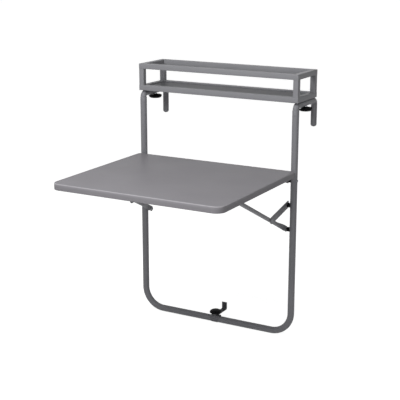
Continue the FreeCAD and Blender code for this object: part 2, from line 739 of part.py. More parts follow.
def clamp_hook():
    """Bar with three holes and an upturned lip that catches behind a bar of the railing."""
    half = clamp_hook_width / 2
    outer = clamp_hook_bend_radius
    inner = outer - clamp_hook_thickness
    diagonal = math.sin(math.radians(45))
    bend_y = clamp_hook_reach - outer
    bend_z = saddle_top + outer
    lip_top = saddle_top + clamp_lip_height
    lip_front = clamp_hook_reach - clamp_hook_thickness

    def at(y, z):
        return Vector(-half, y, z)

    edges = [
        Part.makeLine(at(0, saddle_top), at(bend_y, saddle_top)),
        Part.Arc(at(bend_y, saddle_top), at(bend_y + outer * diagonal, bend_z - outer * diagonal),
                 at(clamp_hook_reach, bend_z)).toShape(),
        Part.makeLine(at(clamp_hook_reach, bend_z), at(clamp_hook_reach, lip_top)),
        Part.makeLine(at(clamp_hook_reach, lip_top), at(lip_front, lip_top)),
        Part.makeLine(at(lip_front, lip_top), at(lip_front, bend_z)),
        Part.Arc(at(lip_front, bend_z), at(bend_y + inner * diagonal, bend_z - inner * diagonal),
                 at(bend_y, clamp_hook_top)).toShape(),
        Part.makeLine(at(bend_y, clamp_hook_top), at(0, clamp_hook_top)),
        Part.makeLine(at(0, clamp_hook_top), at(0, saddle_top))]
    bar = Part.Face(Part.Wire(edges)).extrude(ACROSS * clamp_hook_width)
    bar = bar.fuse(rod(half, UP * saddle_top, UP * clamp_hook_top))
    for i in range(3):
        foot = UP * saddle_top + BACK * (i * clamp_hole_spacing)
        bar = bar.cut(rod(clamp_stud_radius + clamp_hole_clearance, foot, foot + UP * clamp_hook_thickness))
    return bar.removeSplitter()


def clamp_washer():
    """Washer between the knob and the hooked bar."""
    ring = rod(washer_radius, UP * clamp_hook_top, UP * clamp_washer_top)
    return ring.cut(rod(clamp_stud_radius + clamp_hole_clearance, UP * clamp_hook_top, UP * clamp_washer_top))


def clamp_stud():
    """Stud moulded into the knob, down through the hooked bar and the saddle into the insert."""
    return rod(clamp_stud_radius, UP * (tube_diameter - clamp_stud_reach),
               UP * (clamp_washer_top + clamp_stud_in_knob))


def clamp_knob():
    """Mushroom-shaped knob, turned about a vertical axis to grip the hooked bar."""
    hole, neck, rim = clamp_stud_radius, clamp_knob_neck_radius, clamp_knob_radius
    shoulder = clamp_knob_neck_height + clamp_knob_cone_height
    profile = [(0, clamp_stud_in_knob), (hole, clamp_stud_in_knob), (hole, 0), (neck, 0),
               (neck, clamp_knob_neck_height), (rim, shoulder)]
    profile += domed(rim, clamp_knob_dome_height, shoulder + clamp_knob_rim_height)
    return revolved(profile, UP * clamp_washer_top)


def pieces():
    """Every node of the table by name."""
    made = {
        "u_frame": u_frame(),
        "hook_right": hook_right(),
        "end_cap_right": end_cap_right(),
        "joint_screws": both_sides(joint_screw_right()),
        "shelf_base_frame": shelf_base_frame(),
        "shelf_posts": shelf_posts(),
        "shelf_top_frame": shelf_top_frame(),
        "shelf_floor": shelf_floor(),
        "shelf_screws": Part.makeCompound(
            [solid for y in shelf_screw_places() for solid in both_sides(shelf_screw_right(y)).Solids]),
        "foot_inserts": both_sides(foot_insert_right()),
        "foot_stud_right": foot_stud_right(),
        "foot_knob_right": foot_knob_right(),
        "foot_pad_right": foot_pad_right(),
        "tabletop_panel": tabletop_panel(),
        "table_ribs": table_ribs(),
        "hinge_bracket_right": hinge_bracket_right(),
        "strut_guide_right": strut_guide_right(),
        "hinge_bolts": both_sides(hinge_bolt_right()),
        "hinge_nuts": both_sides(hinge_nut_right()),
        "hinge_spacers": both_sides(spacer_right(hinge_height)),
        "link_spacers": both_sides(spacer_right(link_pivot_height)),
        "seat_spacers": both_sides(spacer_right(strut_seat_height)),
        "link_inserts": both_sides(leg_insert_right(link_pivot_height)),
        "seat_inserts": both_sides(leg_insert_right(strut_seat_height)),
        "link_pins": both_sides(link_pin_right()),
        "seat_bolts": both_sides(seat_bolt_right()),
        "link_right": link_right(),
        "strut_right": strut_right(),
        "strut_glide_right": strut_glide_right(),
        "strut_rivet_right": strut_rivet_right(),
        "clamp_saddle": clamp_saddle(),
        "clamp_insert": clamp_insert(),
        "clamp_hook": clamp_hook(),
        "clamp_washer": clamp_washer(),
        "clamp_stud": clamp_stud(),
        "clamp_knob": clamp_knob(),
    }
    for name in [name for name in made if name.endswith("_right")]:
        made[name.replace("_right", "_left")] = mirrored(made[name])
    return made


def export(made):
    """Moves each node to the part's origin and writes it as one STEP file."""
    os.makedirs("parts", exist_ok=True)
    for name, shape in made.items():
        placed = shape.copy()
        placed.translate(origin * -1)
        placed.exportStep(f"parts/{name}.step")
        print(name, len(placed.Solids), "solids", round(placed.Volume / 1000, 2), "cm3", placed.isValid())


export(pieces())
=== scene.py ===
"""Looks of a folding metal table that hangs on a balcony railing."""
import json
import logging
import math
from dataclasses import dataclass, field
from enum import Enum

import bmesh
import bpy
from mathutils import Matrix, Vector

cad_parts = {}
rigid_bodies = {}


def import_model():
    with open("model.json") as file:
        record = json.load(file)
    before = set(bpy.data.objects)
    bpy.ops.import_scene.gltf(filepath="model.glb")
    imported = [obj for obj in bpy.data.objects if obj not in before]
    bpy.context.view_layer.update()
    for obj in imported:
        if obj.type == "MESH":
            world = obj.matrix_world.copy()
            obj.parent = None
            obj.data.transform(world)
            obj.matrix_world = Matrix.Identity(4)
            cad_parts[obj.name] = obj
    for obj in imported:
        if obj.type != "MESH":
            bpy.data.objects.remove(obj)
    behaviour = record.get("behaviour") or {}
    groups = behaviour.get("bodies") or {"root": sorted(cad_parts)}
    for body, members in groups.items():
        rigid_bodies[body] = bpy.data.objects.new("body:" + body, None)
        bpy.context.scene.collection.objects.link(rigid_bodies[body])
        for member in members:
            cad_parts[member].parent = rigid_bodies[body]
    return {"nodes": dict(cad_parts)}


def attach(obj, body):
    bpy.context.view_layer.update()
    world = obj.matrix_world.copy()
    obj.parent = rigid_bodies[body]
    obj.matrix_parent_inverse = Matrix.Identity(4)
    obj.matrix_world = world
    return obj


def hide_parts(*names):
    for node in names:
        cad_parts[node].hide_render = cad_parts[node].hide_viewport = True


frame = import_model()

log = logging.getLogger("balcony_table")

MILLIMETRE = 0.001
# Where the row's origin lies in the drawing, whose zero is under the bottom tube in the legs' plane
ORIGIN_MM = Vector((0.0, 91.0, 896.5))
UP = Vector((0.0, 0.0, 1.0))
ACROSS = Vector((1.0, 0.0, 0.0))
BACK = Vector((0.0, 1.0, 0.0))

# Sizes that several pieces share, in millimetres
TUBE_RADIUS = 13.25
HOOK_RADIUS = 12.0
LEG_X = 337.5
LEG_INNER_X = LEG_X - TUBE_RADIUS
PLATE_OUTER_X = 313.25
PLATE_THICKNESS = 3.0
STRUT_X = 301.95
HINGE_Z = 640.0
LINK_Z = 541.0
SEAT_Z = 444.0
JOINT_Z = 892.0
HOOK_AXIS_Z = 928.0
SHELF_UNDER_Z = 940.0
DROP_Y = 176.0
FOOT_Y = 91.0

# A piece's edges stay sharp above this many degrees, and a thread's above the second
CREASE = 40.0
THREAD_CREASE = 60.0
# A profile's point nearer to the axis than this is on it
ON_AXIS = 1e-6
# Two runs of a path are in line when the sine of the angle between them is under this
IN_LINE = 1e-4
# A thread's depth and the taper of its ends, and a nut's chamfer, as shares of pitch and width
THREAD_DEPTH = 0.61
THREAD_LEAD = 0.2
NUT_CHAMFER = 0.054
NUT_END = 0.93

# Sockets of the Mix node, which has one set for numbers and one for colours
MIX_NUMBERS = (2, 3)
MIX_COLOURS = (6, 7)
MIXED_COLOUR = 2
WHITE = (1.0, 1.0, 1.0, 1.0)


class Side(Enum):
    """The left or right half of the table, as seen by the person who sits at it."""

    LEFT = -1
    RIGHT = 1

    @property
    def word(self) -> str:
        """The side's name as it stands in the names of pieces."""
        return self.name.lower()


class Texture(Enum):
    """How the surface of a coating is drawn up as it sets."""

    SMOOTH = 0.25
    FINE = 0.6
    COARSE = 1.0


def linear(hex_colour: str) -> tuple[float, float, float, float]:
    """Turns an sRGB hex colour into the linear colour that a shader takes.

    Args:
        hex_colour: Six hex digits with a leading hash sign.

    Returns:
        Linear red, green and blue with an alpha of one.
    """
    values = [int(hex_colour[i:i + 2], 16) / 255 for i in (1, 3, 5)]
    red, green, blue = (v / 12.92 if v <= 0.04045 else ((v + 0.055) / 1.055) ** 2.4
                        for v in values)
    return red, green, blue, 1.0


def repeats(size_mm: float) -> float:
    """Gives a texture's scale from the pattern's real size: how often that fits in a metre."""
    return 1000 / size_mm


def add_node(tree: bpy.types.NodeTree, kind: str, settings: dict | None = None,
             links: dict | None = None) -> bpy.types.Node:
    """Adds one node with its settings and its incoming links.

    Args:
        tree: The node tree to add to.
        kind: The node's Blender type name.
        settings: Values by attribute name, or by input name or number.
        links: Output sockets by the name or number of the input that each one feeds.

    Returns:
        The new node.
    """
    node = tree.nodes.new(kind)
    for key, value in (settings or {}).items():
        if isinstance(key, str) and hasattr(node, key):
            setattr(node, key, value)
        else:
            node.inputs[key].default_value = value
    for key, socket in (links or {}).items():
        tree.links.new(socket, node.inputs[key])
    return node


def seen_directly(tree: bpy.types.NodeTree) -> bpy.types.NodeSocket:
    """Gives one for camera rays and those that metal or glass sends on, and nothing for light.

    Args:
        tree: The node tree to add to.

    Returns:
        The socket that tells them apart.
    """
    path = add_node(tree, "ShaderNodeLightPath")
    sharp = add_node(tree, "ShaderNodeMath", {"operation": "MAXIMUM"},
                     {0: path.outputs["Is Glossy Ray"], 1: path.outputs["Is Transmission Ray"]})
    either = add_node(tree, "ShaderNodeMath", {"operation": "MAXIMUM"},
                      {0: path.outputs["Is Camera Ray"], 1: sharp.outputs[0]})
    return either.outputs[0]


def place(x: float, y: float, z: float) -> Vector:
    """Turns a point of the drawing in millimetres into one of the row frame in metres."""
    return (Vector((x, y, z)) - ORIGIN_MM) * MILLIMETRE


def turns(count: int) -> list[float]:
    """Lists the angles in radians that divide one turn evenly."""
    return [2 * math.pi * k / count for k in range(count)]


def arc(u: float, v: float, radius: float, first: float, last: float,
        steps: int) -> list[tuple[float, float]]:
    """Lists points along a flat arc.

    Args:
        u: The first coordinate of its centre.
        v: The second coordinate of its centre.
        radius: Its radius.
        first: Where it starts, in degrees.
        last: Where it ends, in degrees.
        steps: Its divisions.

    Returns:
        The points, both ends among them.
    """
    angles = [math.radians(first + (last - first) * i / steps) for i in range(steps + 1)]
    return [(u + radius * math.cos(a), v + radius * math.sin(a)) for a in angles]


@dataclass(frozen=True)
class Finish:
    """What every finish has: a name, and a material that is made once."""

    name: str

    def shade(self, tree: bpy.types.NodeTree, point: bpy.types.NodeSocket) -> bpy.types.Node:
        """Builds the surface shader; each finish has its own."""
        raise NotImplementedError

    def drift(self, tree: bpy.types.NodeTree, patches: bpy.types.NodeSocket,
              colours: tuple[str, str], gloss: tuple[float, float]) -> dict:
        """Lets colour and roughness change together over the surface.

        Args:
            tree: The material's node tree.
            patches: How far each place has gone from the first state to the second.
            colours: The colours of both states, as hex.
            gloss: The roughnesses of both states.

        Returns:
            The links for the colour and roughness of the surface shader.
        """
        shades = {key: linear(colour) for key, colour in zip(MIX_COLOURS, colours)}
        tone = add_node(tree, "ShaderNodeMix", {"data_type": "RGBA"} | shades, {0: patches})
        rough = add_node(tree, "ShaderNodeMapRange", {"To Min": gloss[0], "To Max": gloss[1]},
                         {"Value": patches})
        return {"Base Color": tone.outputs[MIXED_COLOUR], "Roughness": rough.outputs[0]}

    def material(self) -> bpy.types.Material:
        """Makes the material, or returns the one made before.

        Returns:
            The finish's node material.
        """
        made = bpy.data.materials.get(self.name)
        if made:
            return made
        made = bpy.data.materials.new(self.name)
        made.use_nodes = True
        tree = made.node_tree
        tree.nodes.clear()
        shader = self.shade(tree, add_node(tree, "ShaderNodeTexCoord").outputs["Object"])
        add_node(tree, "ShaderNodeOutputMaterial", links={"Surface": shader.outputs[0]})
        return made


@dataclass(frozen=True)
class PowderCoatedSteel(Finish):
    """Steel tube or sheet under baked polyester powder: satin, with the ripple it melts into."""

    colour: str = "#808080"
    shadow_colour: str = "#787878"
    roughness: float = 0.42
    texture: Texture = Texture.FINE
    sheen: float = 0.2
    ripple_mm: float = 3.2
    cloud_mm: float = 140.0
    # Colour of a painted highlight on rolled edges; empty for none
    edge_highlight_colour: str = ""
    grain_mm: float = 1.1
    grain_share: float = 0.35
    relief: float = 0.22
    relief_mm: float = 0.12

    def shade(self, tree: bpy.types.NodeTree, point: bpy.types.NodeSocket) -> bpy.types.Node:
        """Builds the coating from two colours of the same powder, a ripple and fine grains.

        Args:
            tree: The material's node tree.
            point: Place on the piece, in metres.

        Returns:
            The shader node.
        """
        # Powder lands unevenly, which shows as faint clouds a hand's width across
        clouds = add_node(tree, "ShaderNodeTexNoise",
                          {"Scale": repeats(self.cloud_mm), "Detail": 3.0}, {"Vector": point})
        surface = self.drift(tree, clouds.outputs[0], (self.colour, self.shadow_colour),
                             (self.roughness - 0.05, self.roughness + 0.07))
        # Where a highlight colour is given, a painted highlight lightens the rolled edges
        if self.edge_highlight_colour:
            surface["Base Color"] = self.paint_edge_highlight(tree, surface["Base Color"])
        # The ripple of molten powder is about 2 mm from crest to crest, drawn coarser to show
        ripple = add_node(tree, "ShaderNodeTexNoise",
                          {"Scale": repeats(self.ripple_mm), "Detail": 1.0}, {"Vector": point})
        # Grains that did not melt flat are about 0.5 mm, drawn at twice that to show
        grains = add_node(tree, "ShaderNodeTexVoronoi",
                          {"Scale": repeats(self.grain_mm), "feature": "SMOOTH_F1"},
                          {"Vector": point})
        height = add_node(tree, "ShaderNodeMix", {"data_type": "FLOAT", 0: self.grain_share},
                          dict(zip(MIX_NUMBERS, (ripple.outputs[0], grains.outputs[0]))))
        bump = add_node(tree, "ShaderNodeBump", {"Strength": self.relief * self.texture.value,
                                                 "Distance": self.relief_mm * MILLIMETRE},
                        {"Height": height.outputs[0]})
        return add_node(tree, "ShaderNodeBsdfPrincipled",
                        {"IOR": 1.5, "Specular IOR Level": self.sheen},
                        surface | {"Normal": bump.outputs[0]})

    def paint_edge_highlight(self, tree: bpy.types.NodeTree, colour: bpy.types.NodeSocket
                      ) -> bpy.types.NodeSocket:
        """Paints a highlight on a rolled edge: a lighter colour that stands in for the light the
        edge catches.

        Args:
            tree: The material's node tree.
            colour: The colour elsewhere.

        Returns:
            The colour with the painted highlight on the edge, lightest where the sheet is half
            turned over.
        """
        upward = add_node(tree, "ShaderNodeSeparateXYZ", links={
            0: add_node(tree, "ShaderNodeTexCoord").outputs["Normal"]}).outputs["Z"]
        level = add_node(tree, "ShaderNodeMath", {"operation": "SUBTRACT", 0: 1.0}, {1: upward})
        rolled = add_node(tree, "ShaderNodeMath", {"operation": "MULTIPLY"},
                          {0: upward, 1: level.outputs[0]})
        # The product is a quarter at its greatest, so four times it is a whole share
        share = add_node(tree, "ShaderNodeMath",
                         {"operation": "MULTIPLY", 1: 4.0, "use_clamp": True},
                         {0: rolled.outputs[0]})
        usual, lighter = MIX_COLOURS
        mixed = add_node(tree, "ShaderNodeMix",
                         {"data_type": "RGBA", lighter: linear(self.edge_highlight_colour)},
                         {0: share.outputs[0], usual: colour})
        return mixed.outputs[MIXED_COLOUR]


@dataclass(frozen=True)
class MouldedNylon(Finish):
    """Glass-filled nylon, moulded against a lightly sparked tool, so satin with a fine grain."""

    colour: str = "#08080a"
    worn_colour: str = "#101012"
    roughness: float = 0.48
    sheen: float = 0.05
    grain_mm: float = 0.9
    flow_mm: float = 18.0
    relief: float = 0.18
    relief_mm: float = 0.08

    def shade(self, tree: bpy.types.NodeTree, point: bpy.types.NodeSocket) -> bpy.types.Node:
        """Builds the plastic with its tool grain and the flow marks near its gate.

        Args:
            tree: The material's node tree.
            point: Place on the piece, in metres.

        Returns:
            The shader node.
        """
        # Spark erosion leaves grains of about 0.5 mm, drawn at 0.9 mm to show
        grain = add_node(tree, "ShaderNodeTexNoise",
                         {"Scale": repeats(self.grain_mm), "Detail": 2.0}, {"Vector": point})
        flow = add_node(tree, "ShaderNodeTexNoise",
                        {"Scale": repeats(self.flow_mm), "Detail": 2.0, "Distortion": 0.6},
                        {"Vector": point})
        surface = self.drift(tree, flow.outputs[0], (self.colour, self.worn_colour),
                             (self.roughness - 0.06, self.roughness + 0.08))
        bump = add_node(tree, "ShaderNodeBump",
                        {"Strength": self.relief, "Distance": self.relief_mm * MILLIMETRE},
                        {"Height": grain.outputs[0]})
        return add_node(tree, "ShaderNodeBsdfPrincipled",
                        {"IOR": 1.53, "Specular IOR Level": self.sheen},
                        surface | {"Normal": bump.outputs[0]})


@dataclass(frozen=True)
class ZincPlatedSteel(Finish):
    """Machined steel with a thin zinc plate, whose colour drifts and which smears highlights."""

    colour: str = "#b9bbbd"
    dull_colour: str = "#9fa1a4"
    roughness: float = 0.34
    patch_mm: float = 6.0
    mark_mm: float = 0.5
    relief: float = 0.12
    relief_mm: float = 0.03

    def shade(self, tree: bpy.types.NodeTree, point: bpy.types.NodeSocket) -> bpy.types.Node:
        """Builds the plate with turning marks and patches of slightly duller zinc.

        Args:
            tree: The material's node tree.
            point: Place on the piece, in metres.

        Returns:
            The shader node.
        """
        patches = add_node(tree, "ShaderNodeTexNoise",
                           {"Scale": repeats(self.patch_mm), "Detail": 4.0}, {"Vector": point})
        surface = self.drift(tree, patches.outputs[0], (self.colour, self.dull_colour),
                             (self.roughness - 0.08, self.roughness + 0.1))
        # Turning marks run about 0.2 mm apart, drawn at 0.5 mm to show
        marks = add_node(tree, "ShaderNodeTexNoise",
                         {"Scale": repeats(self.mark_mm), "Detail": 1.0}, {"Vector": point})
        bump = add_node(tree, "ShaderNodeBump",
                        {"Strength": self.relief, "Distance": self.relief_mm * MILLIMETRE},
                        {"Height": marks.outputs[0]})
        return add_node(tree, "ShaderNodeBsdfPrincipled", {"Metallic": 1.0},
                        surface | {"Normal": bump.outputs[0]})


@dataclass(frozen=True)
class StudioPaper(Finish):
    """The plain pale sweep that the table stands on: white to the camera, soft grey as a light."""

    colour: str = "#e6e6e6"
    lift: float = 0.86
    fibre_mm: float = 3.0
    relief: float = 0.05
    relief_mm: float = 0.1

    def shade(self, tree: bpy.types.NodeTree, point: bpy.types.NodeSocket) -> bpy.types.Node:
        """Builds matt paper.

        Args:
            tree: The material's node tree.
            point: Place on the floor, in metres.

        Returns:
            The shader node.
        """
        fibres = add_node(tree, "ShaderNodeTexNoise",
                          {"Scale": repeats(self.fibre_mm), "Detail": 3.0}, {"Vector": point})
        bump = add_node(tree, "ShaderNodeBump",
                        {"Strength": self.relief, "Distance": self.relief_mm * MILLIMETRE},
                        {"Height": fibres.outputs[0]})
        paper = add_node(tree, "ShaderNodeBsdfPrincipled",
                         {"Base Color": linear(self.colour), "Roughness": 0.9,
                          "Specular IOR Level": 0.1}, {"Normal": bump.outputs[0]})
        # What the eye and reflections see is lifted to white, and only the shadow stays below it
        lift = add_node(tree, "ShaderNodeMath", {"operation": "MULTIPLY", 1: self.lift},
                        {0: seen_directly(tree)})
        glow = add_node(tree, "ShaderNodeEmission", {"Color": WHITE}, {"Strength": lift.outputs[0]})
        return add_node(tree, "ShaderNodeAddShader",
                        links={0: paper.outputs[0], 1: glow.outputs[0]})


# Powder coat on the bent tubes: satin mid grey, so a soft highlight runs along each tube
FRAME_PAINT = PowderCoatedSteel("frame_powder_coat", "#7f7f83", "#78787c", 0.42, Texture.FINE)
# The same powder on the shelf's square tube, a shade lighter and duller
SHELF_PAINT = PowderCoatedSteel("shelf_powder_coat", "#858588", "#7e7e82", 0.44, Texture.FINE)
# The same powder on the shelf's sheet floor, painted darker as shade from the rails around it, and
# almost without shine
SHADED_FLOOR_PAINT = PowderCoatedSteel("shelf_floor_powder_coat", "#606063", "#5b5b5e", 0.5,
                                Texture.FINE, 0.1)
# Coarse powder on the pressed tabletop: dull, with a visible ripple, and a painted highlight on the
# rolled rim
TABLE_PAINT = PowderCoatedSteel("tabletop_powder_coat", "#858387", "#7e7c80", 0.46,
                                Texture.COARSE, 0.07, 3.6, 180.0, "#a3a1a5")
# Smooth dark powder on the clamp's hooked bar, glossy enough for clear highlights
BLACK_STEEL = PowderCoatedSteel("black_coated_steel", "#47474b", "#3e3e42", 0.36,
                                Texture.SMOOTH, 0.3, 2.6, 30.0)
# Nylon of the collars, pads, knob, glides and spacers: deep black with little shine
BLACK_NYLON = MouldedNylon("black_nylon")
# The same nylon coloured to go with the paint, for the strap round the bottom tube
SADDLE_NYLON = MouldedNylon("grey_nylon", "#77777b", "#6f6f73", 0.45)
# Fresh zinc on threads, nuts, inserts and screws: a pale metal that gleams
BRIGHT_ZINC = ZincPlatedSteel("bright_zinc")
# Zinc gone grey in the open on the heads of bolts and rivets: darker, with a blurred gleam
DULL_ZINC = ZincPlatedSteel("dull_zinc", "#77787b", "#67686b", 0.5)
# Matt paper under the table, which shows nothing but the table's shadow
PAPER = StudioPaper("studio_paper")


@dataclass(frozen=True)
class ButtonScrew:
    """Sizes in millimetres of a screw with a low round head and a socket in it."""

    head_radius: float
    head_height: float
    shank_radius: float
    shank_length: float
    sunk: float
    socket_radius: float
    socket_depth: float


@dataclass
class Builder:
    """What every sub-assembly can do: turn bmeshes into pieces that ride on a body."""

    def piece(self, name: str, mesh: bmesh.types.BMesh, finish: Finish, body: str, slot: str,
              stands_for: tuple[str, ...] = (), crease: float = CREASE) -> bpy.types.Object:
        """Makes one piece from a bmesh.

        Args:
            name: The piece's name.
            mesh: Its shape in row-frame metres; freed afterwards.
            finish: What it is made of.
            body: The CAD body that it moves with.
            slot: The record's material slot; not used.
            stands_for: CAD nodes that it replaces.
            crease: Angle in degrees above which an edge stays sharp.

        Returns:
            The new object.
        """
        bmesh.ops.remove_doubles(mesh, verts=mesh.verts, dist=1e-7)
        bmesh.ops.recalc_face_normals(mesh, faces=mesh.faces)
        for face in mesh.faces:
            face.smooth = True
        limit = math.radians(crease)
        for edge in mesh.edges:
            edge.smooth = len(edge.link_faces) == 2 and edge.calc_face_angle(0.0) < limit
        made = self.object_from(name, mesh, finish)
        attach(made, body)
        if stands_for:
            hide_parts(*stands_for)
        return made

    def object_from(self, name: str, mesh: bmesh.types.BMesh, finish: Finish) -> bpy.types.Object:
        """Puts a bmesh into the scene as an object of one finish.

        Args:
            name: The object's name.
            mesh: Its shape; freed afterwards.
            finish: What it is made of.

        Returns:
            The new object.
        """
        data = bpy.data.meshes.new(name)
        mesh.to_mesh(data)
        mesh.free()
        data.materials.append(finish.material())
        made = bpy.data.objects.new(name, data)
        bpy.context.collection.objects.link(made)
        return made

    def dress(self, finish: Finish, *nodes: str) -> None:
        """Gives CAD nodes that stay as they are their finish."""
        for node in nodes:
            data = frame["nodes"][node].data
            data.materials.clear()
            data.materials.append(finish.material())

    def skin(self, mesh: bmesh.types.BMesh, rings: list[list], closed: bool = False) -> None:
        """Covers a row of rings with faces.

        Args:
            mesh: The shape to add to.
            rings: The vertices of each ring in order; a ring of one vertex is a tip.
            closed: Whether the last ring joins the first, and not each end has a face.
        """
        for low, high in zip(rings, rings[1:] + rings[:1] if closed else rings[1:]):
            around = max(len(low), len(high))
            for k in range(around):
                n = (k + 1) % around
                corners = (low[k % len(low)], low[n % len(low)],
                           high[n % len(high)], high[k % len(high)])
                mesh.faces.new(list(dict.fromkeys(corners)))
        for end in () if closed else (rings[0], rings[-1]):
            if len(end) > 1:
                mesh.faces.new(end)

    def rounded_path(self, corners: list[Vector], radius: float, steps: int) -> list[Vector]:
        """Lists points along straight runs joined by arcs.

        Args:
            corners: Where the runs meet, in metres.
            radius: The arcs' radius in metres.
            steps: Divisions of each arc.

        Returns:
            The path's points.
        """
        path = [corners[0]]
        for before, corner, after in zip(corners, corners[1:], corners[2:]):
            incoming, outgoing = (before - corner).normalized(), (after - corner).normalized()
            half = incoming.angle(outgoing) / 2
            start = corner + incoming * (radius / math.tan(half))
            centre = corner + (incoming + outgoing).normalized() * (radius / math.sin(half))
            axis = incoming.cross(outgoing).normalized()
            sweep = math.pi - 2 * half
            for i in range(steps + 1):
                turn = Matrix.Rotation(-sweep * i / steps, 3, axis)
                path.append(centre + turn @ (start - centre))
        path.append(corners[-1])
        return path

    def tube(self, path: list[Vector], radius: float, wall: float = 0.0,
             around: int = 48) -> bmesh.types.BMesh:
        """Sweeps a round tube along a planar path.

        Args:
            path: Points of the centre line, in metres.
            radius: Outer radius in metres.
            wall: Wall thickness in metres, or nothing for a solid bar.
            around: Divisions of the section.

        Returns:
            The tube with closed ends.
        """
        mesh = bmesh.new()
        normal = self.path_normal(path)
        layers = []
        for size in (radius, radius - wall) if wall else (radius,):
            rings = []
            for before, point, after in zip(path[:1] + path, path, path[1:] + path[-1:]):
                sideways = normal.cross((after - before).normalized()).normalized()
                rings.append([mesh.verts.new(
                    point + (normal * math.cos(a) + sideways * math.sin(a)) * size)
                    for a in turns(around)])
            layers.append(rings)
        if wall:
            self.skin(mesh, layers[0] + layers[1][::-1], closed=True)
        else:
            self.skin(mesh, layers[0])
        return mesh

    def path_normal(self, path: list[Vector]) -> Vector:
        """Finds the direction square to the plane that a path with a bend lies in.

        Args:
            path: Its points.

        Returns:
            The direction, of length one.
        """
        first = (path[1] - path[0]).normalized()
        squares = (first.cross((b - a).normalized()) for a, b in zip(path[1:], path[2:]))
        return next(square for square in squares if square.length > IN_LINE).normalized()

    def lathe(self, profile: list[tuple[float, float]], centre: Vector, axis: Vector,
              around: int = 56) -> bmesh.types.BMesh:
        """Turns a profile round an axis.

        Args:
            profile: (radius, height) pairs in millimetres, joined up into a ring if off the axis.
            centre: Height zero, in metres.
            axis: The direction of growing height.
            around: Divisions of the turn.

        Returns:
            The turned piece.
        """
        mesh = bmesh.new()
        rings = [self.circle(mesh, radius, height, centre, axis, around if radius > ON_AXIS else 1)
                 for radius, height in profile]
        self.skin(mesh, rings, closed=len(rings[0]) > 1 and len(rings[-1]) > 1)
        return mesh

    def circle(self, mesh: bmesh.types.BMesh, radius: float, height: float, centre: Vector,
               axis: Vector, around: int) -> list:
        """Adds the points of one circle.

        Args:
            mesh: Where they go.
            radius: The circle's radius in millimetres.
            height: Its height along the axis in millimetres.
            centre: Height zero, in metres.
            axis: The direction of growing height.
            around: Number of points.

        Returns:
            The new vertices in order.
        """
        turn = axis.to_track_quat("Z", "Y").to_matrix()
        return [mesh.verts.new(centre + turn @ Vector((
            radius * math.cos(a), radius * math.sin(a), height)) * MILLIMETRE)
            for a in turns(around)]

    def pin(self, radius: float, low: float, high: float, centre: Vector, axis: Vector,
            around: int) -> bmesh.types.BMesh:
        """Makes a plain round pin.

        Args:
            radius: In millimetres.
            low: Height of one end along the axis, in millimetres.
            high: Height of the other end.
            centre: Height zero, in metres.
            axis: The direction of growing height.
            around: Divisions of the turn.

        Returns:
            The pin.
        """
        return self.lathe([(0.0, low), (radius, low), (radius, high), (0.0, high)],
                          centre, axis, around)

    def button_screw(self, size: ButtonScrew, centre: Vector, axis: Vector) -> bmesh.types.BMesh:
        """Makes a screw with a low round head and a socket.

        Args:
            size: Its sizes.
            centre: Where the head rests on the surface, in metres.
            axis: Out of that surface.

        Returns:
            The screw.
        """
        radius, top, socket = size.head_radius, size.head_height, size.socket_radius
        profile = [(0.0, -size.shank_length), (size.shank_radius, -size.shank_length),
                   (size.shank_radius, -size.sunk), (radius, -size.sunk)]
        profile += [pair for pair in self.dome(radius, top, 0.0, 10) if pair[0] > socket + 0.25]
        floor = top - size.socket_depth
        profile += [(socket + 0.1, top - 0.1), (socket, floor), (0.0, floor - 0.2)]
        return self.lathe(profile, centre, axis, 24)

    def soften(self, mesh: bmesh.types.BMesh, radius: float, above: float = 30.0) -> None:
        """Rounds the sharp edges of a mesh.

        Args:
            mesh: The shape to change.
            radius: The round's size in millimetres.
            above: Only edges that turn by more degrees than this.
        """
        bmesh.ops.recalc_face_normals(mesh, faces=mesh.faces)
        limit = math.radians(above)
        sharp = [edge for edge in mesh.edges
                 if len(edge.link_faces) == 2 and edge.calc_face_angle(0.0) > limit]
        bmesh.ops.bevel(mesh, geom=sharp, offset=radius * MILLIMETRE, segments=2, profile=0.6,
                        affect="EDGES", clamp_overlap=True)

    def plate(self, outline: list[tuple[float, float]], x0: float, x1: float,
              edge: float) -> bmesh.types.BMesh:
        """Makes a flat piece that is cut to an outline and is square to X.

        Args:
            outline: (y, z) pairs of the drawing in millimetres.
            x0: One face's place along X.
            x1: The other face's place.
            edge: Radius of the deburred edges in millimetres.

        Returns:
            The plate.
        """
        mesh = bmesh.new()
        self.skin(mesh, [[mesh.verts.new(place(x, y, z)) for y, z in outline] for x in (x0, x1)])
        self.soften(mesh, edge)
        return mesh

    def hexagon(self, width: float, height: float, centre: Vector,
                axis: Vector) -> bmesh.types.BMesh:
        """Makes a nut with chamfered corners.

        Args:
            width: Across the flats, in millimetres.
            height: Along the axis, in millimetres.
            centre: The middle of its first face, in metres.
            axis: Towards its other face.

        Returns:
            The nut.
        """
        mesh = bmesh.new()
        corner, rise = width / math.sqrt(3), NUT_CHAMFER * width
        rings = [self.circle(mesh, corner * reach, level, centre, axis, 6) for level, reach in (
            (0.0, NUT_END), (rise, 1.0), (height - rise, 1.0), (height, NUT_END))]
        self.skin(mesh, rings)
        return mesh

    def thread(self, radius: float, pitch: float, length: float, base: Vector, around: int = 28,
               per_turn: int = 8) -> bmesh.types.BMesh:
        """Makes a threaded stud that stands along Z.

        Args:
            radius: Outer radius in millimetres.
            pitch: Rise of one turn in millimetres.
            length: Height in millimetres.
            base: The middle of its lower end, in metres.
            around: Divisions of a turn.
            per_turn: Rings to each pitch.

        Returns:
            The stud, whose thread is a groove of the real depth.
        """
        mesh = bmesh.new()
        levels = int(length / pitch * per_turn)
        rings = []
        for i in range(levels + 1):
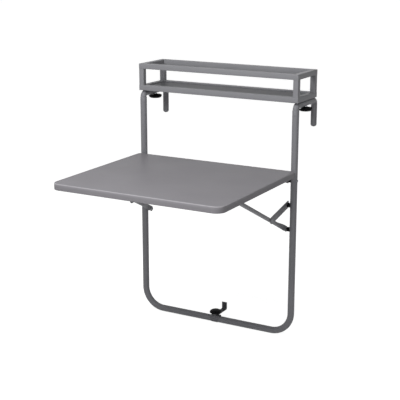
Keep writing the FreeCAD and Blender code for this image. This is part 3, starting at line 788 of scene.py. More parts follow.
            # The thread runs out over the first and last turn, into a slight taper
            full = min(1.0, min(i, levels - i) / per_turn)
            ring = []
            for k, angle in enumerate(turns(around)):
                phase = (i / per_turn - k / around) % 1.0
                sunk = THREAD_DEPTH * pitch * (1 - abs(2 * phase - 1)) ** 0.9
                reach = radius - sunk * full - THREAD_LEAD * pitch * (1 - full)
                ring.append(mesh.verts.new(base + Vector((
                    reach * math.cos(angle), reach * math.sin(angle),
                    i * pitch / per_turn)) * MILLIMETRE))
            rings.append(ring)
        self.skin(mesh, rings)
        return mesh

    def join(self, *meshes: bmesh.types.BMesh) -> bmesh.types.BMesh:
        """Puts several shapes into the first one.

        Args:
            *meshes: The shapes; all but the first are freed.

        Returns:
            The first shape with the others in it.
        """
        first, *rest = meshes
        for other in rest:
            carrier = bpy.data.meshes.new("carrier")
            other.to_mesh(carrier)
            other.free()
            first.from_mesh(carrier)
            bpy.data.meshes.remove(carrier)
        return first

    def dome(self, radius: float, rise: float, base: float,
             steps: int) -> list[tuple[float, float]]:
        """Lists the profile of a quarter-round dome from its rim to the axis.

        Args:
            radius: Of its rim, in millimetres.
            rise: Its height.
            base: The rim's height.
            steps: Divisions of the curve.

        Returns:
            (radius, height) pairs, the last one on the axis.
        """
        angles = [math.pi / 2 * i / steps for i in range(steps)]
        curve = [(radius * math.cos(a), base + rise * math.sin(a)) for a in angles]
        return curve + [(0.0, base + rise)]


@dataclass
class LegFrame(Builder):
    """The U of bent round tube: two legs and the bottom tube, with the hooks' screws."""

    bend_radius: float = 85.0
    wall: float = 1.5
    screw_z: float = 862.0
    screw: ButtonScrew = ButtonScrew(4.6, 2.4, 2.5, 6.5, 0.9, 1.25, 1.3)

    def build(self) -> None:
        """Builds the bent tube and its screws."""
        corners = [place(-LEG_X, 0, JOINT_Z), place(-LEG_X, 0, TUBE_RADIUS),
                   place(LEG_X, 0, TUBE_RADIUS), place(LEG_X, 0, JOINT_Z)]
        path = self.rounded_path(corners, self.bend_radius * MILLIMETRE, 24)
        tube = self.tube(path, TUBE_RADIUS * MILLIMETRE, self.wall * MILLIMETRE)
        self.piece("leg_tube", tube, FRAME_PAINT, "frame", "frame_paint", ("u_frame",))
        spots = [place(side.value * LEG_X, TUBE_RADIUS, self.screw_z) for side in Side]
        screws = [self.button_screw(self.screw, spot, BACK) for spot in spots]
        self.piece("hook_screws", self.join(*screws), BRIGHT_ZINC, "frame", "zinc_steel",
                   ("joint_screws",))


@dataclass
class RailingHook(Builder):
    """One hook of bent tube that goes over the railing, with the domed plug in its open end."""

    side: Side = Side.RIGHT
    bend_radius: float = 16.0
    wall: float = 1.5
    collar_length: float = 20.0
    drop_end_z: float = 832.5
    spigot_length: float = 58.0
    spigot_play: float = 0.15
    cap_dome: float = 10.5
    cap_plug: float = 14.0

    def build(self) -> None:
        """Builds the hook, its spigot in the leg and its end plug."""
        x, name = self.side.value * LEG_X, self.side.word
        corners = [place(x, 0, JOINT_Z), place(x, 0, HOOK_AXIS_Z), place(x, DROP_Y, HOOK_AXIS_Z),
                   place(x, DROP_Y, self.drop_end_z)]
        path = self.rounded_path(corners, self.bend_radius * MILLIMETRE, 16)
        outer = self.tube(path, HOOK_RADIUS * MILLIMETRE, self.wall * MILLIMETRE)
        self.piece(f"railing_hook_{name}", self.join(outer, self.collar(x)), FRAME_PAINT, "frame",
                   "frame_paint", (f"hook_{name}",))
        self.piece(f"hook_end_plug_{name}", self.plug(x), FRAME_PAINT, "frame", "frame_paint",
                   (f"end_cap_{name}",))

    def collar(self, x: float) -> bmesh.types.BMesh:
        """Builds the collar at the seam and the spigot that goes down into the leg.

        Args:
            x: The leg's place.

        Returns:
            Both as one turned piece.
        """
        fit = TUBE_RADIUS - self.wall - self.spigot_play
        foot, top = -self.spigot_length, self.collar_length
        profile = [(fit - self.wall, foot), (fit - 0.5, foot), (fit, foot + 1.0), (fit, 0.0),
                   (TUBE_RADIUS - 0.3, 0.0), (TUBE_RADIUS, 0.3), (TUBE_RADIUS, top - 1.2),
                   (TUBE_RADIUS - 0.4, top - 0.4), (HOOK_RADIUS, top), (fit - self.wall, top)]
        return self.lathe(profile, place(x, 0, JOINT_Z), UP, 48)

    def plug(self, x: float) -> bmesh.types.BMesh:
        """Builds the rounded plug in the end of the drop.

        Args:
            x: The leg's place.

        Returns:
            The plug.
        """
        bore, foot, rim = HOOK_RADIUS - self.wall - 0.1, -self.cap_plug, 0.6
        profile = [(0.0, foot), (bore - 0.6, foot), (bore, foot + 1.0), (bore, 0.0),
                   (HOOK_RADIUS - 0.15, 0.0), (HOOK_RADIUS, 0.3)]
        profile += self.dome(HOOK_RADIUS, self.cap_dome - rim, rim, 12)
        return self.lathe(profile, place(x, DROP_Y, self.drop_end_z), -UP)


@dataclass
class PlanterShelf(Builder):
    """The open box of square tube over the hooks, with its sheet floor, welds and screws."""

    half_width: float = 350.0
    front: float = -12.0
    back: float = 170.0
    rail: float = 21.0
    top: float = 1048.0
    edge: float = 1.6
    post_sunk: float = 0.4
    weld_radius: float = 1.1
    weld_sunk: float = 0.3
    weld_short: float = 2.0
    weld_swell: float = 0.16
    weld_beat: float = 2.4
    screw: ButtonScrew = ButtonScrew(5.5, 3.0, 3.0, 31.0, 1.3, 1.65, 1.7)
    screw_places: tuple[float, ...] = (36.0, 142.0)

    def build(self) -> None:
        """Builds both rims, the posts, their welds and the shelf's screws."""
        low, high = SHELF_UNDER_Z, self.top - self.rail
        self.piece("shelf_lower_rim", self.rim(low), SHELF_PAINT, "frame", "shelf_paint",
                   ("shelf_base_frame",))
        self.piece("shelf_upper_rim", self.rim(high), SHELF_PAINT, "frame", "shelf_paint",
                   ("shelf_top_frame",))
        posts = [self.post(x, y) for x, y in self.corners()]
        self.piece("shelf_corner_posts", self.join(*posts), SHELF_PAINT, "frame", "shelf_paint",
                   ("shelf_posts",))
        welds = [self.weld(x, y, z) for x, y in self.corners() for z in (low + self.rail, high)]
        self.piece("shelf_welds", self.join(*welds), SHELF_PAINT, "frame", "shelf_paint")
        # The sheet floor takes the darker paint, which is painted shade from the rails
        self.dress(SHADED_FLOOR_PAINT, "shelf_floor")
        under = HOOK_AXIS_Z - HOOK_RADIUS
        screws = [self.button_screw(self.screw, place(side.value * LEG_X, y, under), -UP)
                  for side in Side for y in self.screw_places]
        self.piece("shelf_button_screws", self.join(*screws), BRIGHT_ZINC, "frame", "zinc_steel",
                   ("shelf_screws",))

    def corners(self) -> list[tuple[float, float]]:
        """Lists the middles of the four posts."""
        half = self.rail / 2
        return [(x, y) for x in (-self.half_width + half, self.half_width - half)
                for y in (self.front + half, self.back - half)]

    def section(self) -> list[tuple[float, float]]:
        """Lists the outline of the square tube with its rounded edges, from one corner of it."""
        low, high = self.edge, self.rail - self.edge
        corners = ((low, low, 180), (high, low, 270), (high, high, 0), (low, high, 90))
        return [pair for u, v, first in corners
                for pair in arc(u, v, self.edge, first, first + 90, 3)]

    def rim(self, base: float) -> bmesh.types.BMesh:
        """Builds a rectangular frame of mitred square tube.

        Args:
            base: Height of its underside.

        Returns:
            The frame as one loop with rounded edges.
        """
        mesh = bmesh.new()
        mitres = [(sx, self.front, 1) for sx in (-1, 1)] + [(sx, self.back, -1) for sx in (1, -1)]
        rings = [[mesh.verts.new(place(sx * (self.half_width - inset), y + inward * inset,
                                       base + up))
                  for inset, up in self.section()] for sx, y, inward in mitres]
        self.skin(mesh, rings, closed=True)
        return mesh

    def post(self, x: float, y: float) -> bmesh.types.BMesh:
        """Builds one upright square tube between the rims.

        Args:
            x: Its middle.
            y: Its middle.

        Returns:
            The post.
        """
        mesh = bmesh.new()
        half = self.rail / 2
        levels = (SHELF_UNDER_Z + self.rail - self.post_sunk, self.top - self.rail + self.post_sunk)
        self.skin(mesh, [[mesh.verts.new(place(x - half + u, y - half + v, z))
                          for u, v in self.section()] for z in levels])
        return mesh

    def weld(self, x: float, y: float, z: float) -> bmesh.types.BMesh:
        """Builds the painted-over weld bead on the two inner sides of a post's end.

        Args:
            x: The post's middle.
            y: The post's middle.
            z: Height of the joint.

        Returns:
            A low bead with the ripples of a weld.
        """
        half, steps = self.rail / 2, 12
        inward_x = -1 if x > 0 else 1
        inward_y = 1 if y < (self.front + self.back) / 2 else -1
        upper = z > SHELF_UNDER_Z + self.rail
        level = z - self.weld_sunk if upper else z + self.weld_sunk
        corner = (x + inward_x * half, y + inward_y * half)
        run = half - self.weld_short
        ends = ((x - inward_x * run, corner[1]), corner, (corner[0], y - inward_y * run))
        path = [place(*ends[0], level)]
        for a, b in zip(ends, ends[1:]):
            for share in (i / steps for i in range(1, steps + 1)):
                path.append(place(a[0] + (b[0] - a[0]) * share, a[1] + (b[1] - a[1]) * share,
                                  level))
        mesh = self.tube(path, self.weld_radius * MILLIMETRE, around=8)
        middle = sum(path, Vector()) / len(path)
        for vert in mesh.verts:
            away = (vert.co - middle).length / MILLIMETRE
            swell = 1 + self.weld_swell * math.sin(away * self.weld_beat)
            nearest = min(path, key=lambda p: (p - vert.co).length)
            vert.co = nearest + (vert.co - nearest) * swell
        return mesh


@dataclass
class ScrewFoot(Builder):
    """One height-adjusting foot inside a hook: insert, stud, hand collar and domed pad."""

    side: Side = Side.RIGHT
    knob_bottom: float = 908.0
    knob_top: float = 914.2
    knob_radius: float = 26.5
    neck_radius: float = 8.0
    pad_radius: float = 27.0
    pad_face_radius: float = 16.0
    pad_bottom: float = 896.5
    pad_top: float = 907.7
    socket_radius: float = 5.1
    socket_depth: float = 5.2
    stud_radius: float = 5.0
    stud_pitch: float = 1.5
    stud_bottom: float = 902.8
    stud_length: float = 34.2
    ribs: int = 60
    rib_depth: float = 0.55

    def build(self) -> None:
        """Builds the foot's turned pieces and its thread."""
        name, x = self.side.word, self.side.value * LEG_X
        stud = self.thread(self.stud_radius, self.stud_pitch, self.stud_length,
                           place(x, FOOT_Y, self.stud_bottom))
        self.piece(f"foot_collar_{name}", self.collar(x), BLACK_NYLON, f"{name}_foot",
                   "black_plastic", (f"foot_knob_{name}",))
        self.piece(f"foot_thread_{name}", stud, BRIGHT_ZINC, f"{name}_foot", "zinc_steel",
                   (f"foot_stud_{name}",), THREAD_CREASE)
        self.piece(f"foot_sole_{name}", self.sole(x), BLACK_NYLON, f"{name}_pad", "black_plastic",
                   (f"foot_pad_{name}",))

    def collar(self, x: float) -> bmesh.types.BMesh:
        """Builds the hand collar, its rim ribbed for grip.

        Args:
            x: The foot's place.

        Returns:
            The collar.
        """
        height = self.knob_top - self.knob_bottom
        radius, neck, bore = self.knob_radius, self.neck_radius, self.stud_radius
        profile = [(bore, 0.0), (radius - 0.5, 0.0), (radius, 0.4), (radius, 1.3),
                   (radius - 0.4, 1.7)]
        for t in (i / 10 for i in range(1, 10)):
            profile.append((neck + (radius - 0.8 - neck) * (1 - t) ** 2.1,
                            1.8 + (height - 2.6) * t ** 0.9))
        profile += [(neck, height - 0.5), (neck - 0.5, height), (bore, height)]
        mesh = self.lathe(profile, place(x, FOOT_Y, self.knob_bottom), UP, self.ribs * 4)
        axis = place(x, FOOT_Y, 0)
        for vert in mesh.verts:
            away = Vector((vert.co.x - axis.x, vert.co.y - axis.y))
            if away.length > (radius - 0.7) * MILLIMETRE:
                wave = 0.5 - 0.5 * math.cos(math.atan2(away.y, away.x) * self.ribs)
                scale = 1 - wave * self.rib_depth / radius
                vert.co.x, vert.co.y = axis.x + away.x * scale, axis.y + away.y * scale
        return mesh

    def sole(self, x: float) -> bmesh.types.BMesh:
        """Builds the domed pad that rests on the railing.

        Args:
            x: The foot's place.

        Returns:
            The pad with the socket that the stud turns in.
        """
        height, face = self.pad_top - self.pad_bottom, self.pad_face_radius
        bulge, floor, socket = height - 2.6, height - self.socket_depth, self.socket_radius
        profile = [(0.0, 0.0), (face - 0.6, 0.0)]
        for angle in (math.pi / 2 * i / 12 for i in range(1, 13)):
            profile.append((face + (self.pad_radius - face) * math.sin(angle),
                            bulge * (1 - math.cos(angle))))
        profile += [(self.pad_radius, height - 0.5), (self.pad_radius - 0.5, height),
                    (socket + 0.5, height), (socket, height - 0.4), (socket, floor), (0.0, floor)]
        return self.lathe(profile, place(x, FOOT_Y, self.pad_bottom), UP, 72)


@dataclass
class Tabletop(Builder):
    """The pressed sheet top with its rolled rim, its ribs, guides and hinge ears."""

    half_width: float = 350.0
    rear: float = -20.0
    front: float = -620.0
    top: float = 682.0
    rim: float = 25.0
    sheet: float = 1.2
    edge: float = 3.8
    roll: float = 1.6
    front_corner: float = 36.0
    rear_corner: float = 12.0
    least_corner: float = 0.4
    lip: float = 12.0

    def build(self) -> None:
        """Builds the pressed panel and dresses what is welded under it."""
        self.piece("tabletop_sheet", self.panel(), TABLE_PAINT, "tabletop", "table_paint",
                   ("tabletop_panel",), 50.0)
        self.dress(TABLE_PAINT, "table_ribs", "hinge_bracket_left", "hinge_bracket_right",
                   "strut_guide_left", "strut_guide_right")

    def loop(self, inset: float, z: float, mesh: bmesh.types.BMesh) -> list:
        """Adds one closed outline of the panel.

        Args:
            inset: How far inside the panel's edge it runs.
            z: Its height.
            mesh: Where its points go.

        Returns:
            Its vertices in order.
        """
        front, rear = (self.front, 1, self.front_corner), (self.rear, -1, self.rear_corner)
        verts = []
        for sx, (edge_y, inward, radius), first in ((-1, front, 180), (1, front, 270),
                                                    (1, rear, 0), (-1, rear, 90)):
            reach = max(radius - inset, self.least_corner)
            spare = radius - inset - reach
            points = arc(sx * (self.half_width - radius + spare),
                         edge_y + inward * (radius - spare), reach, first, first + 90, 12)
            verts += [mesh.verts.new(place(x, y, z)) for x, y in points]
        return verts

    def panel(self) -> bmesh.types.BMesh:
        """Builds the sheet: outside, rolled edge, rim, lip and the inside of the same sheet.

        Returns:
            The panel as one closed skin.
        """
        mesh = bmesh.new()
        low, sheet, inner_roll = self.top - self.rim, self.sheet, self.roll + 0.6
        section = arc(self.edge, self.top - self.edge, self.edge, 90, 180, 6)
        section += arc(self.roll, low + self.roll, self.roll, 180, 270, 4)
        section += [(self.lip, low), (self.lip, low + sheet), (inner_roll, low + sheet),
                    (sheet, low + inner_roll), (sheet, self.top - self.edge),
                    (sheet + 1.2, self.top - sheet)]
        self.skin(mesh, [self.loop(inset, z, mesh) for inset, z in section])
        return mesh


@dataclass
class FoldingStay(Builder):
    """One side's link and strut, with the glide and the rivet that they carry."""

    side: Side = Side.RIGHT
    slope: float = 26.4
    length: float = 508.0
    rivet: float = 155.2
    rivet_gap: float = 0.3
    strut_radius: float = 8.0
    glide_radius: float = 8.5
    link_half: float = 14.0
    link_overhang: float = 12.0
    link_corner: float = 4.0
    flat_length: float = 30.0
    crush_length: float = 60.0
    flat_half: float = 11.0
    flat_thickness: float = 4.0
    mouth_angle: float = 61.0
    mouth_radius: float = 4.3
    mouth_spread: float = 1.3
    mouth_run: float = 22.0

    def build(self) -> None:
        """Builds the stay's pieces from the strut down to the link."""
        name = self.side.word
        self.piece(f"strut_tube_{name}", self.strut(), FRAME_PAINT, f"{name}_strut",
                   "frame_paint", (f"strut_{name}",), 35.0)
        self.piece(f"strut_cap_{name}", self.cap(), BLACK_NYLON, f"{name}_strut",
                   "black_plastic", (f"strut_glide_{name}",))
        self.piece(f"strut_dome_rivet_{name}", self.dome_rivet(), DULL_ZINC, f"{name}_strut",
                   "zinc_steel", (f"strut_rivet_{name}",))
        self.piece(f"link_bar_{name}", self.link(), FRAME_PAINT, f"{name}_link",
                   "frame_paint", (f"link_{name}",))

    def on_axis(self, along: float, below: float = 0.0) -> tuple[float, float]:
        """Gives (y, z) of a point along the strut's axis from its seat, and below that axis."""
        angle = math.radians(self.slope)
        return (-math.cos(angle) * along - math.sin(angle) * below,
                SEAT_Z + math.sin(angle) * along - math.cos(angle) * below)

    def point(self, along: float, below: float, x: float) -> Vector:
        """Gives the same point in the row frame, at a place across the table."""
        return place(self.side.value * x, *self.on_axis(along, below))

    def direction(self) -> Vector:
        """The strut's way up from its seat."""
        return (self.point(1.0, 0.0, STRUT_X) - self.point(0.0, 0.0, STRUT_X)).normalized()

    def strut(self) -> bmesh.types.BMesh:
        """Builds the tube, its crushed end and the hook that is cut in it.

        Returns:
            The strut.
        """
        tube = bmesh.new()
        outer_x = STRUT_X + self.strut_radius
        flat_middle = self.strut_radius - self.flat_thickness / 2
        stations = [(self.length, 0.0), (self.length - 1.0, 0.0), (250.0, 0.0)]
        stations += [(self.flat_length + self.crush_length * (1 - t / 8), t / 8) for t in range(9)]
        rings = []
        for along, crushed in stations:
            ease = crushed * crushed * (3 - 2 * crushed)
            ring = []
            for angle in turns(40):
                across, up = math.cos(angle), math.sin(angle)
                round_x, round_up = across * self.strut_radius, up * self.strut_radius
                flat_x = max(-1.0, min(1.0, across * 2.2)) * self.flat_thickness / 2 + flat_middle
                flat_up = up * self.flat_half
                ring.append(tube.verts.new(self.point(
                    along, round_up + (flat_up - round_up) * ease,
                    STRUT_X + round_x + (flat_x - round_x) * ease)))
            rings.append(ring)
        self.skin(tube, rings)
        sign = self.side.value
        tongue = self.plate(self.tongue_outline(), sign * (outer_x - self.flat_thickness),
                            sign * outer_x, 0.6)
        return self.join(tube, tongue)

    def mouth_side(self, sign: float) -> list[tuple[float, float]]:
        """Finds one side of the slot, which widens from the bolt to the strut's lower edge.

        Args:
            sign: Minus one for one side, one for the other.

        Returns:
            Where it meets the lower edge and where it leaves the round end, along and below.
        """
        way = math.radians(self.mouth_angle)
        along, below = math.cos(way), math.sin(way)
        half, radius = self.flat_half, self.mouth_radius
        reach = half / below
        spread = radius * (1 + (self.mouth_spread - 1) * reach / self.mouth_run)
        start = (sign * below * radius, -sign * along * radius)
        far = (along * reach + sign * below * spread, half - sign * along * spread)
        share = (half - start[1]) / (far[1] - start[1])
        return [(start[0] + (far[0] - start[0]) * share, half), start]

    def tongue_outline(self) -> list[tuple[float, float]]:
        """Traces the flat end with its open slot.

        Returns:
            (y, z) pairs of the drawing in millimetres.
        """
        half, radius, root = self.flat_half, self.mouth_radius, self.flat_length + 0.5
        sides = sorted(self.mouth_side(sign) for sign in (-1.0, 1.0))
        (near_edge, near_start), (far_edge, far_start) = sides
        # The slot's round end turns from one side to the other the long way, behind the bolt
        middle = self.mouth_angle + 180
        bounds = []
        for start in (near_start, far_start):
            sweep = math.degrees(math.atan2(start[1], start[0])) - middle
            bounds.append(middle + (sweep + 180) % 360 - 180)
        outline = [(root, -half)] + arc(0.0, 0.0, half, -90, -270, 18) + [near_edge]
        outline += arc(0.0, 0.0, radius, *bounds, 12) + [far_edge, (root, half)]
        return [self.on_axis(along, below) for along, below in outline]

    def cap(self) -> bmesh.types.BMesh:
        """Builds the plastic glide on the strut's upper end.

        Returns:
            The cap, with a plug in the tube, a skirt round it and a shallow groove.
        """
        bore, outer, plug = self.strut_radius, self.glide_radius, 6.4
        groove = outer - 0.15
        profile = [(0.0, -16.0), (plug, -16.0), (plug, 0.0), (bore, 0.0), (bore, -14.0),
                   (outer - 0.2, -14.0), (outer, -13.6), (outer, -8.0), (groove, -7.7),
                   (groove, -7.1), (outer, -6.8), (outer, 0.0)]
        profile += self.dome(outer, outer, 0.0, 12)[1:]
        return self.lathe(profile, self.point(self.length, 0.0, STRUT_X), self.direction(), 40)

    def dome_rivet(self) -> bmesh.types.BMesh:
        """Builds the rivet between the strut and the link.

        Returns:
            The rivet with both its heads.
        """
        outward = ACROSS * self.side.value
        outer_x, inner_x = PLATE_OUTER_X + self.rivet_gap, STRUT_X - self.strut_radius
        outside = self.point(self.rivet, 0.0, outer_x)
        inside = self.point(self.rivet, 0.0, inner_x)
        head = [(0.0, 0.0), (8.0, 0.0)] + self.dome(8.0, 2.5, 0.0, 8)[1:]
        tail = [(0.0, -1.2), (6.0, -1.2)] + self.dome(6.0, 1.5, 0.0, 8)
        return self.join(self.lathe(head, outside, outward, 32),
                         self.pin(4.0, inner_x - outer_x, 0.2, outside, outward, 24),
                         self.lathe(tail, inside, -outward, 32))

    def link(self) -> bmesh.types.BMesh:
        """Builds the flat bar between the leg and the rivet.

        Returns:
            The link.
        """
        y, z = self.on_axis(self.rivet)
        length = math.hypot(y, z - LINK_Z)
        along = (y / length, (z - LINK_Z) / length)
        half, corner = self.link_half, self.link_corner
        end, side = corner - self.link_overhang, half - corner
        outline = arc(end, side, corner, 90, 180, 6) + arc(end, -side, corner, 180, 270, 6)
        outline += arc(length, 0.0, half, -90, 90, 24)
        turned = [(along[0] * u - along[1] * v, LINK_Z + along[1] * u + along[0] * v)
                  for u, v in outline]
        sign = self.side.value
        return self.plate(turned, sign * (PLATE_OUTER_X - PLATE_THICKNESS),
                          sign * PLATE_OUTER_X, 0.5)


@dataclass
class LegFittings(Builder):
    """Bolts, nuts, spacers, inserts and pins at the three pivots of both legs."""

    bolt_head_radius: float = 6.0
    bolt_head_height: float = 3.0
    bolt_radius: float = 4.0
    bolt_bore: float = 4.05
    bolt_tail: float = 7.0
    nut_width: float = 13.0
    nut_height: float = 6.5
    nut_gap: float = 0.3
    spacer_radius: float = 9.0
    spacer_length: float = 10.7
    bracket_gap: float = 11.0
    seat_head_radius: float = 8.0
    seat_head_x: float = STRUT_X + 3.7

    def build(self) -> None:
        """Builds each kind of fitting for both sides as one piece."""
        both = [side.value for side in Side]
        self.piece("hinge_bolt_heads", self.join(*[self.bolt(s) for s in both]), DULL_ZINC,
                   "frame", "zinc_steel", ("hinge_bolts",))
        nut_x = PLATE_OUTER_X - PLATE_THICKNESS - self.nut_gap
        nuts = [self.hexagon(self.nut_width, self.nut_height, place(s * nut_x, 0, HINGE_Z),
                             -ACROSS * s) for s in both]
        self.piece("hinge_lock_nuts", self.join(*nuts), BRIGHT_ZINC, "frame", "zinc_steel",
                   ("hinge_nuts",))
        for name, z in (("hinge", HINGE_Z), ("link", LINK_Z), ("seat", SEAT_Z)):
            self.piece(f"{name}_bushes", self.join(*[self.spacer(s, z) for s in both]),
                       BLACK_NYLON, "frame", "black_plastic", (f"{name}_spacers",))
        self.piece("seat_bolt_heads", self.join(*[self.seat_bolt(s) for s in both]), DULL_ZINC,
                   "frame", "zinc_steel", ("seat_bolts",))
        self.dress(BRIGHT_ZINC, "link_pins", "link_inserts", "seat_inserts", "foot_inserts")

    def bolt(self, sign: int) -> bmesh.types.BMesh:
        """Builds a hinge bolt with its low domed head.

        Args:
            sign: Minus one on the left, one on the right.

        Returns:
            The bolt.
        """
        outward, outside = ACROSS * sign, place(sign * (LEG_X + TUBE_RADIUS), 0, HINGE_Z)
        radius, rod_radius = self.bolt_head_radius, self.bolt_radius
        head = [(0.0, -4.0), (radius - 0.3, -4.0), (radius, -3.6), (radius, 0.0)]
        head += self.dome(radius, self.bolt_head_height, 0.0, 12)[1:]
        end = -(2 * TUBE_RADIUS + self.bracket_gap + PLATE_THICKNESS + self.bolt_tail)
        rod = [(0.0, end), (rod_radius - 0.5, end), (rod_radius, end + 0.6), (rod_radius, -3.9),
               (0.0, -3.9)]
        return self.join(self.lathe(head, outside, outward, 40),
                         self.lathe(rod, outside, outward, 28))

    def spacer(self, sign: int, z: float) -> bmesh.types.BMesh:
        """Builds a round spacer whose end is hollowed to sit on the leg.

        Args:
            sign: Minus one on the left, one on the right.
            z: Its height.

        Returns:
            The spacer.
        """
        mesh = bmesh.new()
        radius, bore = self.spacer_radius, self.bolt_bore
        end_x = LEG_INNER_X - self.spacer_length
        rings = []
        # The first two rings follow the leg, the others lie at a place of their own
        for x, reach in ((None, bore), (None, radius), (end_x + 0.5, radius),
                         (end_x, radius - 0.5), (end_x, bore)):
            ring = []
            for angle in turns(48):
                y, up = reach * math.cos(angle), reach * math.sin(angle)
                on_leg = LEG_X - math.sqrt(TUBE_RADIUS ** 2 - y ** 2)
                ring.append(mesh.verts.new(place(sign * (on_leg if x is None else x), y, z + up)))
            rings.append(ring)
        self.skin(mesh, rings, closed=True)
        return mesh

    def seat_bolt(self, sign: int) -> bmesh.types.BMesh:
        """Builds the bolt that the strut's hook sits on.

        Args:
            sign: Minus one on the left, one on the right.

        Returns:
            The bolt with its low socket head.
        """
        centre, inward = place(sign * self.seat_head_x, 0, SEAT_Z), -ACROSS * sign
        radius = self.seat_head_radius
        head = [(0.0, 0.0), (radius, 0.0), (radius, 2.0)]
        head += [pair for pair in self.dome(radius, 2.0, 2.0, 10) if 2.9 < pair[0] < radius]
        head += [(2.6, 3.9), (2.5, 1.6), (0.0, 1.4)]
        return self.join(self.lathe(head, centre, inward, 36),
                         self.pin(self.bolt_radius, -30.0, 0.1, centre, inward, 28))


@dataclass
class LowerClamp(Builder):
    """The clamp on the bottom tube: saddle, hooked bar, washer, stud and knob."""

    stud_radius: float = 4.0
    stud_pitch: float = 1.25
    stud_length: float = 23.5
    stud_bottom: float = 11.5
    washer_bore: float = 4.1
    washer_radius: float = 10.0
    washer_top: float = 33.0
    knob_radius: float = 25.0
    neck_radius: float = 8.0
    neck: float = 3.0
    cone: float = 4.5
    rim: float = 2.5
    dome_rise: float = 11.5
    knob_bore_depth: float = 8.0
    saddle_half: float = 20.0
    saddle_lip_half: float = 13.0
    saddle_straight: float = 0.4
    saddle_wall: float = 1.5
    saddle_reach: float = 146.0
    land_half: float = 11.0
    land_top: float = 29.0

    def build(self) -> None:
        """Builds the saddle, knob, washer and thread and dresses the hooked bar."""
        self.piece("clamp_tube_saddle", self.saddle(), SADDLE_NYLON, "frame", "black_plastic",
                   ("clamp_saddle",), 50.0)
        self.piece("clamp_hand_knob", self.knob(), BLACK_NYLON, "clamp_grip", "black_plastic",
                   ("clamp_knob",))
        stud = self.thread(self.stud_radius, self.stud_pitch, self.stud_length,
                           place(0, 0, self.stud_bottom))
        self.piece("clamp_thread", stud, BRIGHT_ZINC, "clamp_grip", "zinc_steel",
                   ("clamp_stud",), THREAD_CREASE)
        bore, radius = self.washer_bore, self.washer_radius
        washer = self.lathe([(bore, 0.0), (radius - 0.2, 0.0), (radius, 0.2), (radius, 0.8),
                             (radius - 0.2, 1.0), (bore, 1.0)],
                            place(0, 0, self.washer_top - 1.0), UP, 48)
        self.piece("clamp_flat_washer", washer, BRIGHT_ZINC, "clamp_ring", "zinc_steel",
                   ("clamp_washer",))
        self.dress(BLACK_STEEL, "clamp_hook")
        self.dress(BRIGHT_ZINC, "clamp_insert")

    def saddle(self) -> bmesh.types.BMesh:
        """Builds the strap that snaps over the bottom tube, narrower at its lips, with its land.

        Returns:
            The saddle.
        """
        strap = bmesh.new()
        inner, outer, steps = TUBE_RADIUS + 0.05, TUBE_RADIUS + self.saddle_wall, 48
        rings = []
        for i in range(steps + 1):
            share = 2 * i / steps - 1
            angle = math.radians(self.saddle_reach) * share
            taper = max(0.0, (abs(share) - self.saddle_straight) / (1 - self.saddle_straight))
            half = self.saddle_half - (self.saddle_half - self.saddle_lip_half) * taper
            across, up = math.sin(angle), math.cos(angle)
            rings.append([strap.verts.new(place(x, radius * across, TUBE_RADIUS + radius * up))
                          for x, radius in ((-half, inner), (half, inner), (half, outer),
                                            (-half, outer))])
        self.skin(strap, rings)
        self.soften(strap, 0.4, above=50.0)
        seat = math.degrees(math.asin(self.land_half / inner))
        land = [(-self.land_half, self.land_top), (self.land_half, self.land_top)]
        land += arc(0.0, TUBE_RADIUS, inner, 90 - seat, 90 + seat, 24)
        return self.join(strap, self.plate(land, -self.saddle_half, self.saddle_half, 0.6))

    def knob(self) -> bmesh.types.BMesh:
        """Builds the mushroom knob that the hand turns.

        Returns:
            The knob.
        """
        radius, neck, bore = self.knob_radius, self.neck_radius, self.stud_radius
        brim = self.neck + self.cone + self.rim
        profile = [(0.0, self.knob_bore_depth), (bore, self.knob_bore_depth), (bore, 0.0),
                   (neck - 0.5, 0.0), (neck, 0.5), (neck, self.neck)]
        profile += [(neck + (radius - neck) * t, self.neck + self.cone * t ** 1.5)
                    for t in (i / 8 for i in range(1, 9))]
        profile += [(radius, brim)] + self.dome(radius, self.dome_rise, brim, 14)[1:]
        return self.lathe(profile, place(0, 0, self.washer_top), UP, 96)


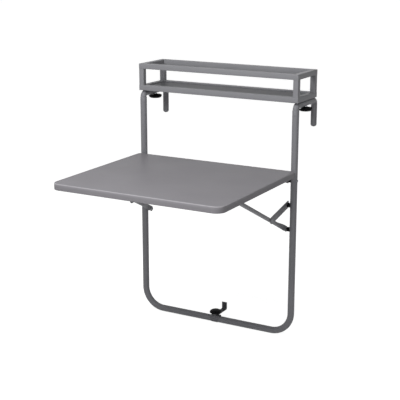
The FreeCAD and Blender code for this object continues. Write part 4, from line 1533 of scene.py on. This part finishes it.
@dataclass
class Studio(Builder):
    """Floor, light and camera: a plain pale sweep under soft light."""

    floor_z: float = -0.9
    floor_radius: float = 30.0
    lens: float = 90.5
    sensor: float = 36.0
    position: tuple[float, float, float] = (1.8428, -3.5316, 0.6535)
    yaw: float = 29.129
    pitch: float = 14.78
    box_place: tuple[float, float, float] = (-0.08, -1.75, 1.3)
    box_size: float = 1.4
    box_watts: float = 46.0
    fill_place: tuple[float, float, float] = (2.0, -2.75, -0.1)
    fill_size: float = 1.2
    fill_watts: float = 14.5
    lamp_aim: tuple[float, float, float] = (0.0, -0.3, -0.3)
    world_strength: float = 0.16

    def build(self) -> None:
        """Builds the floor, a soft box over the table's front, a low fill, world and camera."""
        self.build_floor()
        self.build_lamp("soft_box", self.box_place, self.box_size, self.box_watts)
        self.build_lamp("low_fill", self.fill_place, self.fill_size, self.fill_watts)
        self.build_world()
        self.build_camera()

    def build_floor(self) -> None:
        """Lays a large disc of paper under the table, white to the camera away from shadow."""
        mesh = bmesh.new()
        bmesh.ops.create_circle(mesh, cap_ends=True, radius=self.floor_radius, segments=96,
                                matrix=Matrix.Translation((0, 0, self.floor_z)))
        floor = self.object_from("paper_floor", mesh, PAPER)

    def build_lamp(self, name: str, spot: tuple[float, float, float], size: float,
                   watts: float) -> None:
        """Hangs one soft square lamp that shines at the table.

        Args:
            name: The lamp's name.
            spot: Where it hangs, in metres.
            size: Its width in metres.
            watts: Its power.
        """
        data = bpy.data.lights.new(name, "AREA")
        data.shape = "SQUARE"
        data.size = size
        data.energy = watts
        lamp = bpy.data.objects.new(name, data)
        lamp.location = spot
        lamp.rotation_mode = "QUATERNION"
        lamp.rotation_quaternion = (Vector(spot) - Vector(self.lamp_aim)).to_track_quat("Z", "Y")
        bpy.context.collection.objects.link(lamp)

    def build_world(self) -> None:
        """Fills the room with even light that the camera and reflections see as white."""
        world = bpy.data.worlds.new("studio_room")
        world.use_nodes = True
        tree = world.node_tree
        tree.nodes.clear()
        light, seen = (add_node(tree, "ShaderNodeBackground", {"Color": WHITE, "Strength": power})
                       for power in (self.world_strength, 1.0))
        mixed = add_node(tree, "ShaderNodeMixShader", links={
            0: seen_directly(tree), 1: light.outputs[0], 2: seen.outputs[0]})
        add_node(tree, "ShaderNodeOutputWorld", links={"Surface": mixed.outputs[0]})
        bpy.context.scene.world = world

    def build_camera(self) -> None:
        """Sets the camera at the photograph's angle for a square frame."""
        data = bpy.data.cameras.new("viewpoint")
        data.lens = self.lens
        data.sensor_width = self.sensor
        data.clip_start, data.clip_end = 0.05, 100.0
        camera = bpy.data.objects.new("viewpoint", data)
        camera.location = self.position
        camera.rotation_euler = (math.radians(90 - self.pitch), 0.0, math.radians(self.yaw))
        bpy.context.collection.objects.link(camera)
        bpy.context.scene.camera = camera


@dataclass
class BalconyTable:
    """The whole table, as the sub-assemblies that it is put together from."""

    parts: list[Builder] = field(default_factory=lambda: [
        LegFrame(), RailingHook(side=Side.LEFT), RailingHook(side=Side.RIGHT), PlanterShelf(),
        ScrewFoot(side=Side.LEFT), ScrewFoot(side=Side.RIGHT), Tabletop(), LegFittings(),
        FoldingStay(side=Side.LEFT), FoldingStay(side=Side.RIGHT), LowerClamp()])

    def build(self) -> None:
        """Builds each sub-assembly in order."""
        for part in self.parts:
            before = set(bpy.data.objects)
            part.build()
            for made in sorted(o.name for o in set(bpy.data.objects) - before):
                log.info("%s made %s", type(part).__name__, made)


def main() -> None:
    """Builds the table and its studio."""
    logging.basicConfig(level=logging.INFO, format="%(name)s: %(message)s")
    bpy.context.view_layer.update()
    bpy.context.scene.view_settings.view_transform = "Standard"
    BalconyTable().build()
    Studio().build()
    bpy.context.view_layer.update()
    log.info("sizes written")


if __name__ == "__main__":
    main()
